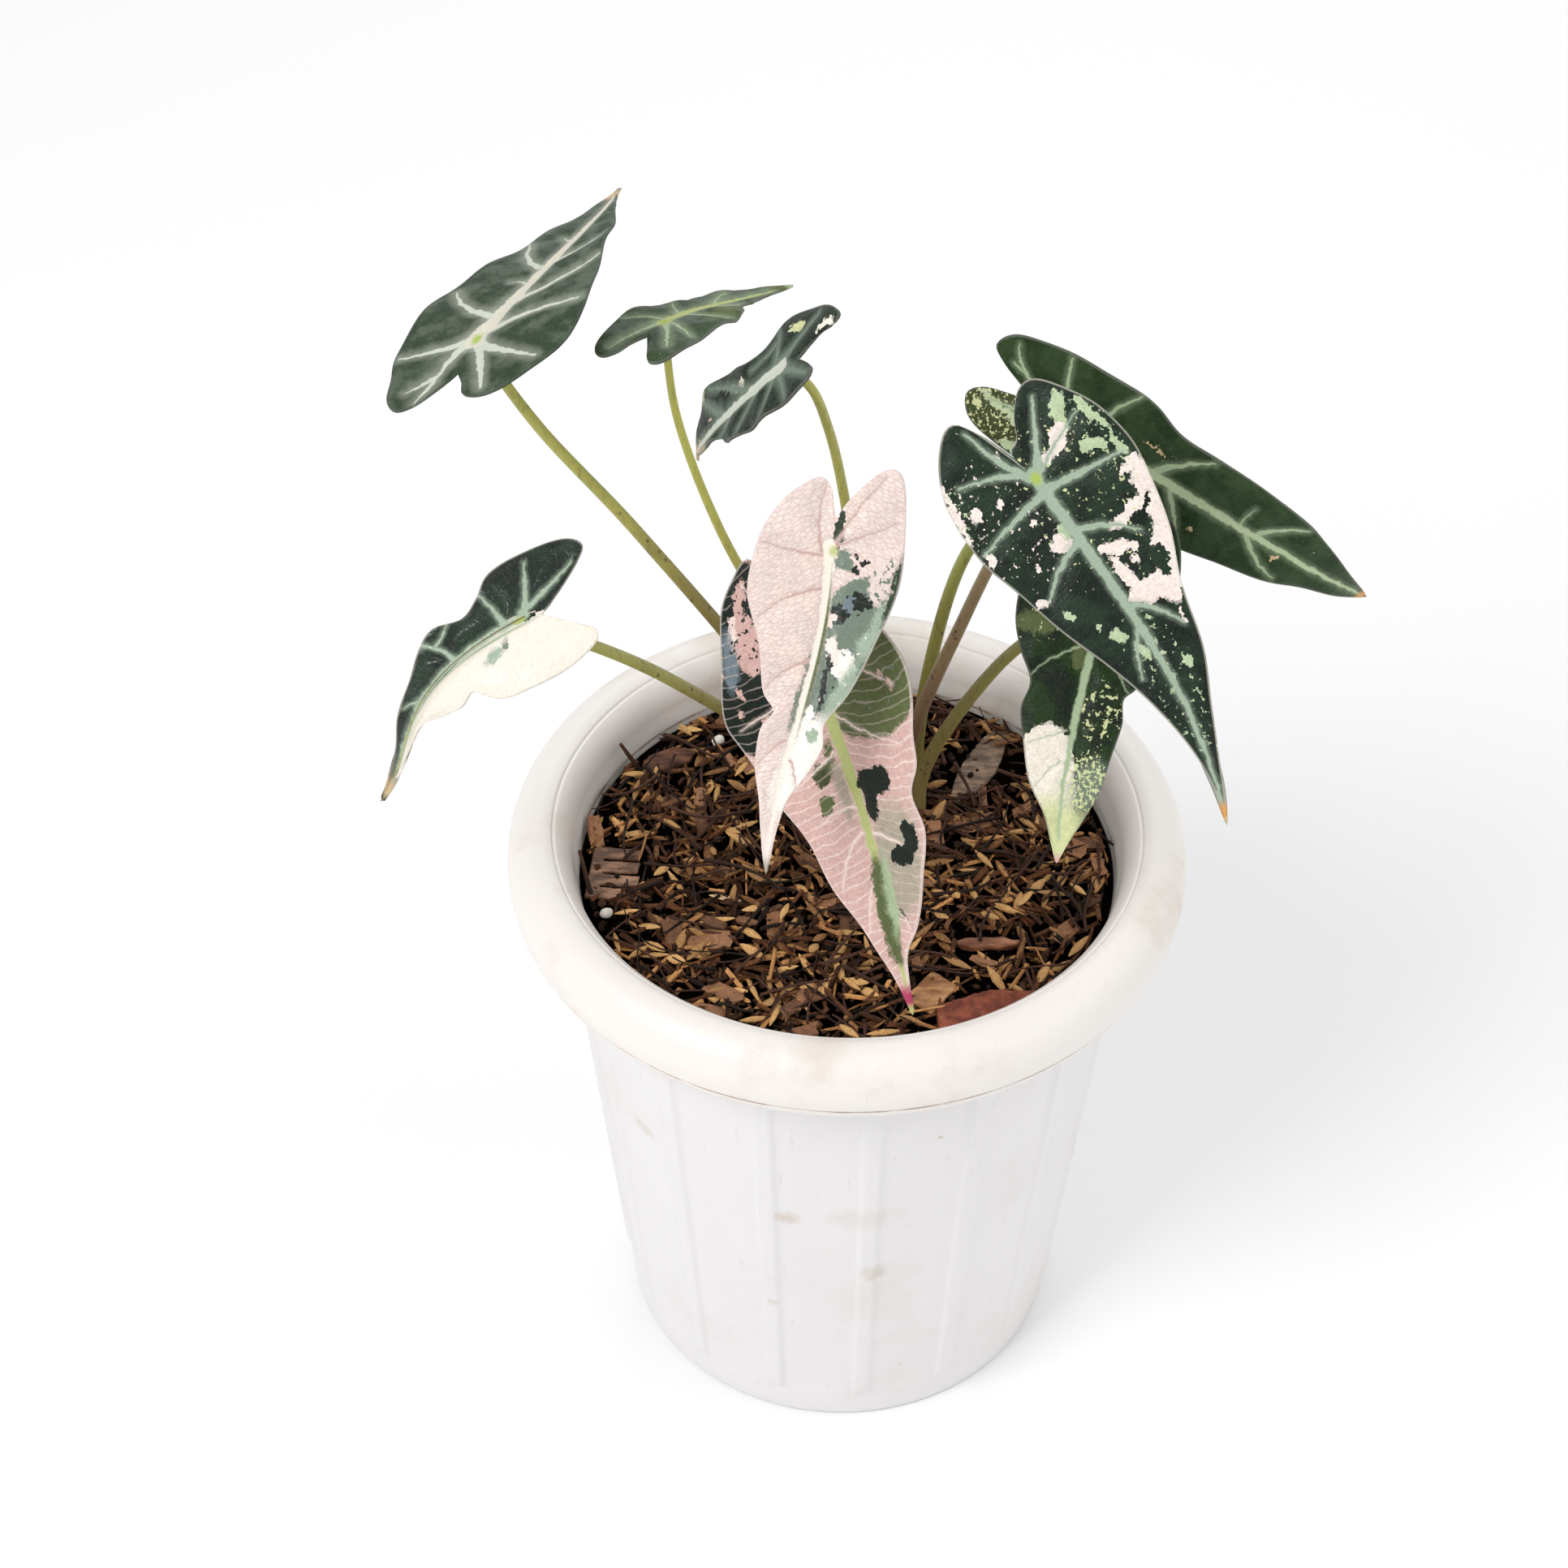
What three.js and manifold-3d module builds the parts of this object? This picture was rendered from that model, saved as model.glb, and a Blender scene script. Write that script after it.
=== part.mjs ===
// A nine-leaved alocasia in a white nursery pot of potting bark.
// Millimetres, +Z up. The origin is the centre of the pot's base, and -Y is the side that the leaves face.
import * as THREE from "three";
import { mergeVertices } from "three/addons/utils/BufferGeometryUtils.js";
import Module from "manifold-3d";

const wasm = await Module();
wasm.setup();

// Pot
// The lip's section is an ellipse: 168 mm across its outside, 166.3 mm high at its crest.
const LIP_CENTRE = 76.05;
const LIP_LEVEL = 155.9;
const LIP_HALF_WIDTH = 7.95;
const LIP_HALF_HEIGHT = 10.4;
const LIP_START = THREE.MathUtils.degToRad(-52);
const LIP_STEPS = 8;
const LIP_UNDER = 147.4;
const LIP_UNDER_RADIUS = 78.9;
const BEAD_HEIGHT = 0.7;
const BODY_TOP_RADIUS = 70.5;
const BASE_RADIUS = 57;
const FOOT_ROUNDING = 1.5;
const WALL = 2.4;
const FLOOR = 4;
const FLOOR_FILLET = 3;
const FLUTES = 16;
const FLUTE_PHASE = THREE.MathUtils.degToRad(5);
const RIB_WIDTH = THREE.MathUtils.degToRad(5.6);
const RIB_HEIGHT = 0.8;
const RIBS_FROM = 12;
const RIBS_TO = 142;
const DRAIN_HOLES = 6;
const DRAIN_RADIUS = 5;
const DRAIN_CIRCLE = 38;

// Soil
const SOIL_TOP = 150.5;
const SOIL_RADIUS = 66.6;
const SEAT_GAP = 0.3;
const HUSKS = 84;
const HUSK_LENGTH = 9.2;
const HUSK_WIDTH = 3;
const CHIPS = 26;
const CHIP_LENGTH = { least: 9, most: 17 };

// Leaves
const BLADE_THICKNESS = 0.8;
const MIDRIB_DEPTH = 1.5;
const LOBE_RULINGS = 7;
const FRONT_RULINGS = 11;
const MARGIN_SAMPLES = 240;
const ACROSS = [0, 0.1, 0.42, 0.74, 1];
const VEIN_LEAN = 0.8;
const PETIOLE_FOOT = 2.1;
const PETIOLE_TOP = 1.25;
const PETIOLE_SIDES = 8;
const PETIOLE_STEPS = 14;
const ROOT_LEVEL = 128;

// Each leaf: the midrib's four control points from the stalk's joint to the tip, the way the upper face
// looks at both ends, the fold and curl of the two halves in degrees, and the flat outline in millimetres,
// x forward from the joint and y to the left. The stalk's route runs from the soil up to the joint, and
// girth is its thickness beside the others'.
const LEAVES = {
  leaf_left_back: {
    colour: 0x46593b,
    midrib: [[-86, 36.5, 283.5], [-71.5, 67, 288.5], [-62.5, 95, 277.5], [-57.5, 124, 268]],
    facing: [[-0.35, 0, 0.94], [-0.48, 0.05, 0.88]],
    fold: [11, 11],
    curl: -12,
    neck: 8,
    left: [[-12, -1], [-17, 1.2], [-23, 5], [-25.5, 9], [-23, 12.5], [-17, 14.5], [-9, 18], [3, 19.5],
      [16, 19], [32, 14.5], [47, 10], [64, 5.5], [80, 1.8], [94.6, 0]],
    right: [[-12, -1], [-16, -5], [-20, -8], [-20, -15], [-15, -21.5], [-5, -26.3], [7, -26.5], [20, -22.5],
      [34, -18], [46, -15], [58, -10.5], [71, -6], [84, -2], [94.6, 0]],
    stalk: [[-2.5, 33], [-13, 33.5, 168], [-51, 35.5, 227.5], [-73, 35.5, 258.5]],
  },
  leaf_top_small: {
    girth: 0.75,
    colour: 0x4c6238,
    midrib: [[-44, 57, 274], [-36, 71.5, 269], [-28, 85, 260], [-13.5, 99.5, 255.5]],
    facing: [[-0.05, 0.2, 0.97], [-0.1, 0.1, 0.98]],
    fold: [8, 5],
    curl: -10,
    neck: 8,
    left: [[-11, -1.5], [-16, 0], [-21, 0.6], [-24.5, 2.6], [-23, 5.6], [-16, 7.6], [-8, 9.4], [2, 10],
      [10, 9], [15, 6.4], [19, 5], [25, 6.6], [35, 5.6], [46, 3], [56, 0]],
    right: [[-11, -1.5], [-17, -5], [-23, -8.5], [-23, -11.5], [-18, -13.2], [-6, -13.5], [6, -13],
      [15, -12], [23, -9], [29, -5], [33, -5.4], [39, -3], [47, -1.2], [56, 0]],
    stalk: [[2, 39], [-6, 41, 165.5], [-31.5, 47.5, 219], [-41.5, 52.5, 249.5]],
  },
  leaf_top_netted: {
    girth: 0.85,
    colour: 0x4f554a,
    midrib: [[-17, 11.5, 293], [-27, 19.5, 278], [-37.5, 27, 262.5], [-36.5, 38.5, 247]],
    facing: [[-0.85, -0.02, 0.53], [-0.86, -0.37, 0.35]],
    fold: [8, 7],
    curl: -15,
    neck: 7,
    left: [[-8, 1], [-12, 3.4], [-15.5, 6.5], [-15, 9.6], [-10, 11.8], [-2, 12.5], [6, 12.4], [14, 11],
      [22, 9.4], [26.5, 6.4], [33, 4.6], [43, 3.3], [50, 1.2], [57.7, 0]],
    right: [[-8, 1], [-13, -1.6], [-19, -3.2], [-21.4, -5.4], [-18, -8.8], [-11, -11.8], [0, -13],
      [7, -10.4], [14, -7.8], [21, -9], [30, -10.2], [38, -10], [43, -5.4], [49, -1], [57.7, 0]],
    stalk: [[10, 40.5], [7.5, 37, 170], [0, 25.5, 236], [-5.5, 19, 270.5]],
  },
  leaf_left_cream: {
    colour: 0x9aa07c,
    midrib: [[-74, -32.5, 257.5], [-104, -43.5, 246], [-97.5, -42.5, 227.5], [-109, -32.5, 202]],
    facing: [[-0.45, -0.45, 0.76], [-0.3, -0.8, 0.5]],
    fold: [6, 10],
    curl: -20,
    neck: 8,
    left: [[-5, 2], [-10, 7], [-14, 11], [-13, 14], [-7, 16], [2, 16.8], [11, 15], [15, 12], [17.3, 9],
      [22, 9.6], [28, 7], [34, 3.6], [44, 2], [55, 0.9], [71, 0]],
    right: [[-5, 2], [-10, -1], [-17, -6], [-20, -9.5], [-17, -13], [-10, -14.5], [1, -13.4], [6, -9.6],
      [11, -7], [17, -9], [23, -7.2], [31, -4.4], [43, -2.4], [56, -1], [71, 0]],
    stalk: [[-1.5, 26], [-10.5, 19, 165.5], [-42, -5.5, 216], [-60, -20.5, 240]],
  },
  leaf_front_pale: {
    colour: 0xdccfca,
    midrib: [[-6, -32.5, 276.5], [-6, -49.5, 256], [-18.5, -60.5, 241.5], [-19.5, -79, 224.5]],
    facing: [[0.02, -0.76, 0.65], [-0.03, -0.77, 0.64]],
    fold: [5, 5],
    curl: -6,
    neck: 6,
    left: [[-7, 1.5], [-11, 4.4], [-16.5, 10.5], [-17.5, 14.5], [-14, 16.4], [-4, 16.5], [7, 15.4],
      [18, 12], [29, 9], [36.3, 5.8], [41.5, 6.8], [48, 5.2], [54.5, 2.4], [62, 0.8], [71.4, 0]],
    right: [[-7, 1.5], [-10.5, 1], [-14, 0.4], [-16, -1.6], [-14.5, -5.5], [-11, -10], [-4, -14.8],
      [5, -17], [13, -16.7], [23, -12.6], [33, -9.2], [36.8, -5.6], [41, -7.2], [49, -6.2], [56, -3.6],
      [63, -1.8], [71.4, 0]],
    stalk: [[11, 19.5], [10, 13, 172], [4, -4, 222], [-3, -17, 256]],
  },
  leaf_front_pink: {
    colour: 0xa98f8a,
    midrib: [[-11.5, -28, 244.5], [1, -48.5, 223], [7, -63.5, 201.5], [13.5, -76.5, 177.5]],
    facing: [[-0.48, -0.74, 0.48], [-0.64, -0.65, 0.41]],
    fold: [8, 10],
    curl: 0,
    neck: 7,
    left: [[-6, 0], [-12, 2.4], [-18, 5], [-20, 8], [-16.5, 10.5], [-9, 14], [-2, 19.5], [7, 24.2],
      [14, 24.6], [24, 21], [31, 19.6], [37, 15.4], [45, 16.5], [54, 13.4], [65, 8], [74, 1.8], [87, 0]],
    right: [[-6, 0], [-14, -1.4], [-21, -2.6], [-24, -5], [-21, -9.5], [-15, -15], [-4, -19.5],
      [8, -23.6], [16, -22.8], [33, -18], [45, -14], [57, -11], [67, -6.5], [77, -2.5], [87, 0]],
    stalk: [[4, 21], [2, 15, 170], [-4, 0, 206], [-8.5, -13, 228]],
  },
  leaf_right_blotched: {
    colour: 0x4b5a45,
    midrib: [[38.5, -24, 289.5], [53.5, -38, 274], [74, -51.5, 256.5], [80, -72.5, 233]],
    facing: [[-0.06, -0.78, 0.62], [-0.08, -0.78, 0.62]],
    fold: [5, 3],
    curl: -4,
    neck: 6,
    left: [[-3, -0.8], [-8, -1.2], [-9.5, 1.5], [-14, 4], [-18, 8], [-18, 12], [-13, 16], [-5, 20],
      [5, 21.5], [14, 20], [25, 17], [36, 12], [49, 9], [60, 5], [71, 2.2], [79, 1], [86, 0]],
    right: [[-3, -0.8], [-9, -2.7], [-16, -5.1], [-20, -7.7], [-19, -11.5], [-13, -16.5], [-5, -19.5],
      [7, -20], [17, -17.8], [30, -15], [42, -11], [54, -7], [67, -3.2], [77, -1], [86, 0]],
    stalk: [[14.5, 28], [15.5, 21.5, 170], [26.5, -2, 233.5], [33, -14.5, 265.5]],
  },
  leaf_right_back: {
    colour: 0x465f34,
    midrib: [[48.5, 10.5, 278.5], [77.5, 0, 265], [106, -12.5, 251.5], [121.5, 11, 228]],
    facing: [[-0.27, -0.94, 0.22], [-0.15, -0.9, 0.41]],
    fold: [8, 6],
    curl: -8,
    neck: 5,
    left: [[-9, 0], [-14, 2], [-20, 4.5], [-23.5, 7.5], [-21, 12], [-14, 14.5], [-4, 16], [6, 16],
      [14, 15], [22, 12.2], [31, 11.6], [45, 11], [57, 9.5], [68, 6.5], [80, 3], [95, 0]],
    right: [[-9, 0], [-15, -1.4], [-21, -3.5], [-23.5, -7], [-20, -11.5], [-12, -13.5], [0, -14],
      [15, -13.5], [36, -12], [48, -9.5], [60, -7.5], [70, -4.6], [82, -2.5], [95, 0]],
    stalk: [[18.5, 35.5], [18.5, 32.5, 167.5], [26.5, 23.5, 227.5], [38.5, 16, 257]],
  },
  leaf_right_low: {
    colour: 0x6f7c48,
    midrib: [[56.5, -15.5, 253.5], [52.5, -28.5, 240.5], [46, -39, 227], [45.5, -58, 207.5]],
    facing: [[-0.07, -0.7, 0.71], [-0.06, -0.7, 0.71]],
    fold: [4, 4],
    curl: -8,
    neck: 7,
    left: [[-5, 0], [-12, 4], [-17, 8], [-17, 11.5], [-10, 15], [3, 16.5], [14, 15], [21, 12.4],
      [24.5, 10], [30, 11], [38, 10], [47, 8.5], [54, 5.4], [59, 2.6], [64, 0]],
    right: [[-5, 0], [-12, -4], [-17, -8], [-17, -12], [-10, -16.5], [3, -18.5], [12, -18], [19, -15],
      [25, -11.2], [31, -12], [38, -10], [46, -7.5], [53, -3.4], [59, -1.4], [64, 0]],
    stalk: [[19, 21], [19, 17, 165], [34.5, 2.5, 213], [47, -7.5, 236.5]],
  },
};

// Pieces that lie loose on the soil: centre, turn in degrees and the radius that holds the whole piece
const LOOSE = {
  terracotta_shard: { at: [32, -51], turn: 0, radius: 12.5, colour: 0x8a4a35, make: shardGeometry },
  tan_chip: { at: [19.5, -45], turn: 58, radius: 7.6, colour: 0xa5784f, make: () => flatPiece(
    [[-6, -4], [5, -4.6], [6.4, 3.2], [-5, 4.4]], 1.4) },
  wood_stick: { at: [34, -29], turn: 1, radius: 9.2, colour: 0x8b5b42, make: () => chipGeometry(18, 3.4, 2) },
  dry_frond: { at: [-57.5, -4], turn: -4, radius: 11.5, colour: 0x8a6a52, make: frondGeometry },
  bark_slab: { at: [-45, 37], turn: 24, radius: 7.7, colour: 0x7a5438, make: () => chipGeometry(15, 7, 1.8) },
  dry_leaf: { at: [34.5, 34.5], turn: 65, radius: 15.2, colour: 0x6f5a45, make: () => stripGeometry(30, 9, 0.9) },
  perlite_left: { at: [-59, -19], turn: 20, radius: 2.2, colour: 0xe8e2da, make: () => granuleGeometry(1.7) },
  perlite_back: { at: [-32.6, 43.7], turn: 50, radius: 2.4, colour: 0xe8e2da, make: () => granuleGeometry(1.9) },
};

const part = new THREE.Group();

function addPiece(name, geometry, colour, roughness = 0.8) {
  const material = new THREE.MeshStandardMaterial({ color: colour, roughness, metalness: 0 });
  const mesh = new THREE.Mesh(geometry, material);
  mesh.name = name;
  part.add(mesh);
  return mesh;
}

function toSolid(geometry) {
  const bare = geometry.clone();
  for (const name of Object.keys(bare.attributes)) {
    if (name !== "position") bare.deleteAttribute(name);
  }
  const merged = mergeVertices(bare, 1e-4);
  const corners = Array.from(merged.index.array);
  const kept = [];
  for (let i = 0; i < corners.length; i += 3) {
    const [a, b, c] = corners.slice(i, i + 3);
    if (a !== b && b !== c && c !== a) kept.push(a, b, c);
  }
  return new wasm.Manifold(new wasm.Mesh({
    numProp: 3,
    vertProperties: Float32Array.from(merged.attributes.position.array),
    triVerts: Uint32Array.from(kept),
  }));
}

function toGeometry(solid) {
  const mesh = solid.getMesh();
  const geometry = new THREE.BufferGeometry();
  geometry.setAttribute("position", new THREE.BufferAttribute(Float32Array.from(mesh.vertProperties), 3));
  geometry.setIndex(Array.from(mesh.triVerts));
  geometry.computeVertexNormals();
  return geometry;
}

// Repeatable draws between 0 and 1
function drawer(seed) {
  let state = seed;
  return () => {
    state = (state * 1664525 + 1013904223) % 4294967296;
    return state / 4294967296;
  };
}

// A closed ring profile turned about +Z. The points run up the outside and down the inside.
function turned(profile, segments) {
  const points = profile.map(([radius, height]) => new THREE.Vector2(radius, height));
  return new THREE.LatheGeometry(points, segments).rotateX(Math.PI / 2);
}

function potProfile() {
  const lip = [];
  for (let step = 0; step <= LIP_STEPS; step += 1) {
    const angle = LIP_START + ((Math.PI - LIP_START) * step) / LIP_STEPS;
    lip.push([LIP_CENTRE + LIP_HALF_WIDTH * Math.cos(angle), LIP_LEVEL + LIP_HALF_HEIGHT * Math.sin(angle)]);
  }
  const [outerFoot] = lip;
  const floorTop = FLOOR + FLOOR_FILLET;
  return [
    [0, 0],
    [BASE_RADIUS - FOOT_ROUNDING, 0],
    [BASE_RADIUS, FOOT_ROUNDING],
    [bodyRadius(RIBS_FROM - 2), RIBS_FROM - 2],
    [bodyRadius(RIBS_FROM), RIBS_FROM],
    [bodyRadius(RIBS_TO), RIBS_TO],
    [bodyRadius(LIP_UNDER + BEAD_HEIGHT), LIP_UNDER + BEAD_HEIGHT],
    [LIP_UNDER_RADIUS - 1, LIP_UNDER],
    [LIP_UNDER_RADIUS, LIP_UNDER + BEAD_HEIGHT],
    [outerFoot[0], LIP_UNDER + 2 * BEAD_HEIGHT],
    ...lip,
    [innerRadius(SOIL_TOP), SOIL_TOP],
    [innerRadius(floorTop), floorTop],
    [innerRadius(floorTop) - FLOOR_FILLET, FLOOR],
    [0, FLOOR],
  ];
}

function bodyRadius(height) {
  return BASE_RADIUS + (BODY_TOP_RADIUS - BASE_RADIUS) * (height / LIP_UNDER);
}

function innerRadius(height) {
  const floorRadius = BASE_RADIUS - WALL;
  return floorRadius + (SOIL_RADIUS - floorRadius) * (height / SOIL_TOP);
}

// Each flute's columns, as angles from the middle of its rib, and how far each stands out on the body
function fluteColumns() {
  const half = RIB_WIDTH / 2;
  const pitch = (2 * Math.PI) / FLUTES;
  const crest = 0.55 * half;
  return [[-half, 0], [-crest, RIB_HEIGHT], [crest, RIB_HEIGHT], [half, 0], [pitch / 2, 0]];
}

function makePot() {
  const columns = fluteColumns();
  const columnCount = FLUTES * columns.length;
  const geometry = turned(potProfile(), columnCount);
  const position = geometry.attributes.position;
  for (let i = 0; i < position.count; i += 1) {
    const [x, y, z] = [position.getX(i), position.getY(i), position.getZ(i)];
    const radius = Math.hypot(x, y);
    const column = Math.round((Math.atan2(y, x) / (2 * Math.PI) + 1) * columnCount) % columnCount;
    const [offset, height] = columns[column % columns.length];
    const flute = Math.floor(column / columns.length);
    const angle = FLUTE_PHASE - Math.PI / 2 + (flute * 2 * Math.PI) / FLUTES + offset;
    const onRibs = z > RIBS_FROM - 1 && z < RIBS_TO + 1 && radius > innerRadius(z) + 1;
    const reach = radius + (onRibs ? height : 0);
    position.setXY(i, reach * Math.cos(angle), reach * Math.sin(angle));
  }
  let solid = toSolid(geometry);
  for (let hole = 0; hole < DRAIN_HOLES; hole += 1) {
    const angle = ((hole + 0.5) / DRAIN_HOLES) * 2 * Math.PI;
    const bore = new THREE.CylinderGeometry(DRAIN_RADIUS, DRAIN_RADIUS, 4 * FLOOR, 16).rotateX(Math.PI / 2);
    bore.translate(DRAIN_CIRCLE * Math.cos(angle), DRAIN_CIRCLE * Math.sin(angle), 0);
    solid = solid.subtract(toSolid(bore));
  }
  addPiece("pot", toGeometry(solid), 0xe9e4df, 0.5);
}

// The leaf's flat plane is bent along the midrib and folded about it.
function bladeSurface(leaf) {
  const curve = new THREE.CubicBezierCurve3(...leaf.midrib.map((p) => new THREE.Vector3(...p)));
  const length = curve.getLength();
  const [base, tip] = leaf.facing.map((v) => new THREE.Vector3(...v).normalize());
  const joint = curve.getPoint(0);
  const lobeDroop = 0.5;
  return (x, y) => {
    const along = THREE.MathUtils.clamp(x / length, 0, 1);
    const behind = Math.min(x, 0);
    const tangent = curve.getTangentAt(along);
    const facing = base.clone().lerp(tip, along).normalize();
    const normal = facing.addScaledVector(tangent, -facing.dot(tangent)).normalize();
    const side = new THREE.Vector3().crossVectors(normal, tangent);
    const reach = Math.abs(y);
    const fold = THREE.MathUtils.degToRad(leaf.fold[y >= 0 ? 0 : 1]);
    const curl = THREE.MathUtils.degToRad(leaf.curl) / (0.25 * length);
    const angle = fold + 0.5 * curl * reach;
    const point = x > 0 ? curve.getPointAt(along) : joint.clone();
    return point
      .addScaledVector(tangent, behind)
      .addScaledVector(normal, (-lobeDroop * behind * behind) / (2 * length))
      .addScaledVector(side, y * Math.cos(angle))
      .addScaledVector(normal, reach * Math.sin(angle));
  };
}

// Rulings run from the midrib out to the margin, leaning forward as the veins do. The first ones fan out from
// the joint to the basal lobe, and the rest start at stations that both halves share.
function halfRulings(outline, length) {
  const margin = new THREE.SplineCurve(outline.map(([x, y]) => new THREE.Vector2(x, y)));
  const samples = margin.getSpacedPoints(MARGIN_SAMPLES);
  let furthest = -Infinity;
  const roots = samples.map(({ x, y }) => {
    furthest = Math.max(furthest, x - VEIN_LEAN * Math.abs(y));
    return furthest;
  });
  const shoulder = roots.findIndex((root) => root >= 0);
  const rulings = [];
  for (let i = 0; i < LOBE_RULINGS; i += 1) {
    rulings.push({ root: 0, end: samples[Math.round((shoulder * i) / LOBE_RULINGS)] });
  }
  for (let i = 0; i < FRONT_RULINGS; i += 1) {
    const root = (length * i) / FRONT_RULINGS;
    rulings.push({ root, end: samples[roots.findIndex((reached) => reached >= root)] });
  }
  rulings.push({ root: length, end: { x: length, y: 0 } });
  return rulings.map(({ root, end }) => ACROSS.map((share) => [root + (end.x - root) * share, end.y * share]));
}

function makeBlade(leaf) {
  const surface = bladeSurface(leaf);
  const length = leaf.left.at(-1)[0];
  const vertices = [];
  const triangles = [];
  const known = new Map();
  const step = 0.4;
  const addVertex = ([x, y]) => {
    const key = `${Math.round(x * 1e4)} ${Math.round(y * 1e4)}`;
    if (known.has(key)) return known.get(key);
    const top = surface(x, y);
    const forward = surface(x + step, y).sub(surface(x - step, y));
    const across = surface(x, y + step).sub(surface(x, y - step));
    const down = new THREE.Vector3().crossVectors(across, forward).normalize();
    const ribShare = Math.max(0, 1 - Math.abs(y) / 0.9) * Math.max(0, 1 - Math.max(x, 0) / length);
    const inside = x > -4 ? ribShare : 0;
    const bottom = top.clone().addScaledVector(down, BLADE_THICKNESS + MIDRIB_DEPTH * inside);
    vertices.push(top.x, top.y, top.z, bottom.x, bottom.y, bottom.z);
    known.set(key, vertices.length / 6 - 1);
    return vertices.length / 6 - 1;
  };
  const addTriangle = (a, b, c, flipped) => {
    if (a === b || b === c || c === a) return;
    const [p, q, r] = flipped ? [a, c, b] : [a, b, c];
    triangles.push(2 * p, 2 * q, 2 * r, 2 * p + 1, 2 * r + 1, 2 * q + 1);
  };
  for (const outline of [leaf.left, leaf.right]) {
    const flipped = outline === leaf.right;
    const grid = halfRulings(outline, length).map((ruling) => ruling.map(addVertex));
    for (let i = 0; i < grid.length - 1; i += 1) {
      for (let j = 0; j < ACROSS.length - 1; j += 1) {
        addTriangle(grid[i][j], grid[i + 1][j], grid[i + 1][j + 1], flipped);
        addTriangle(grid[i][j], grid[i + 1][j + 1], grid[i][j + 1], flipped);
      }
      const near = 2 * grid[i].at(-1);
      const far = 2 * grid[i + 1].at(-1);
      if (flipped) triangles.push(near, far + 1, far, near, near + 1, far + 1);
      else triangles.push(near, far, far + 1, near, far + 1, near + 1);
    }
  }
  const geometry = new THREE.BufferGeometry();
  geometry.setAttribute("position", new THREE.BufferAttribute(Float32Array.from(vertices), 3));
  geometry.setIndex(triangles);
  return geometry;
}

function stalkPath(leaf, rootLevel = ROOT_LEVEL) {
  const [root, ...middle] = leaf.stalk;
  const joint = new THREE.Vector3(...leaf.midrib[0]);
  const facing = new THREE.Vector3(...leaf.facing[0]).normalize();
  const points = [new THREE.Vector3(root[0], root[1], rootLevel)];
  for (const place of middle) points.push(new THREE.Vector3(...place));
  points.push(joint.clone().addScaledVector(facing, -leaf.neck));
  points.push(joint.clone().addScaledVector(facing, -1.3));
  return new THREE.CatmullRomCurve3(points, false, "centripetal");
}

// A round tube along the stalk's route, slimmer towards the blade
// A stalk's radius at its foot and at the blade
function stalkRadii(leaf) {
  const girth = leaf.girth ?? 1;
  return [PETIOLE_FOOT * girth, PETIOLE_TOP * girth];
}

function makeTube(path, steps, foot, top) {
  const section = new THREE.Shape();
  for (let i = 0; i < PETIOLE_SIDES; i += 1) {
    const angle = (i / PETIOLE_SIDES) * 2 * Math.PI;
    if (i === 0) section.moveTo(1, 0);
    else section.lineTo(Math.cos(angle), Math.sin(angle));
  }
  const geometry = new THREE.ExtrudeGeometry(section, { steps, extrudePath: path, bevelEnabled: false });
  const stations = path.getSpacedPoints(steps);
  const position = geometry.attributes.position;
  const point = new THREE.Vector3();
  for (let i = 0; i < position.count; i += 1) {
    point.fromBufferAttribute(position, i);
    let nearest = 0;
    for (let s = 1; s <= steps; s += 1) {
      if (stations[s].distanceTo(point) < stations[nearest].distanceTo(point)) nearest = s;
    }
    const radius = foot + (top - foot) * (nearest / steps) ** 0.7;
    point.sub(stations[nearest]).multiplyScalar(radius).add(stations[nearest]);
    position.setXYZ(i, point.x, point.y, point.z);
  }
  return geometry;
}

function makeLeaves() {
  for (const [name, leaf] of Object.entries(LEAVES)) {
    const blade = toSolid(makeBlade(leaf));
    const stalk = toSolid(makeTube(stalkPath(leaf), PETIOLE_STEPS, ...stalkRadii(leaf)));
    addPiece(name, toGeometry(blade.add(stalk)), leaf.colour, 0.45);
  }
}

// A flat chip with pointed ends, standing on z = 0
function chipGeometry(length, width, height) {
  const outline = [
    [-length / 2, 0],
    [-length * 0.25, -width / 2],
    [length * 0.3, -width * 0.45],
    [length / 2, 0],
    [length * 0.2, width / 2],
    [-length * 0.32, width * 0.42],
  ];
  return flatPiece(outline, height);
}

// A rice husk: a slim spindle about its own middle
function huskGeometry() {
  return new THREE.SphereGeometry(1, 6, 3).rotateZ(Math.PI / 2).scale(HUSK_LENGTH / 2, HUSK_WIDTH / 2, 1.3);
}

// Places for pieces of one half-length, spread over the soil by the golden angle with a little scatter. They
// stay clear of the pot's wall and of the loose pieces.
function litterPlaces(count, halfLength, draw) {
  const golden = Math.PI * (3 - Math.sqrt(5));
  const reach = SOIL_RADIUS - SEAT_GAP - 0.5 - halfLength;
  const places = [];
  for (let i = 0; i < count; i += 1) {
    const radius = reach * Math.sqrt((i + draw()) / count);
    const angle = i * golden + draw();
    const [x, y] = [radius * Math.cos(angle), radius * Math.sin(angle)];
    const taken = Object.values(LOOSE).some((p) => Math.hypot(x - p.at[0], y - p.at[1]) < p.radius + halfLength);
    if (!taken) places.push([x, y]);
  }
  return places;
}

function largestBody(solid) {
  return solid.decompose().reduce((best, body) => (body.volume() > best.volume() ? body : best));
}

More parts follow.
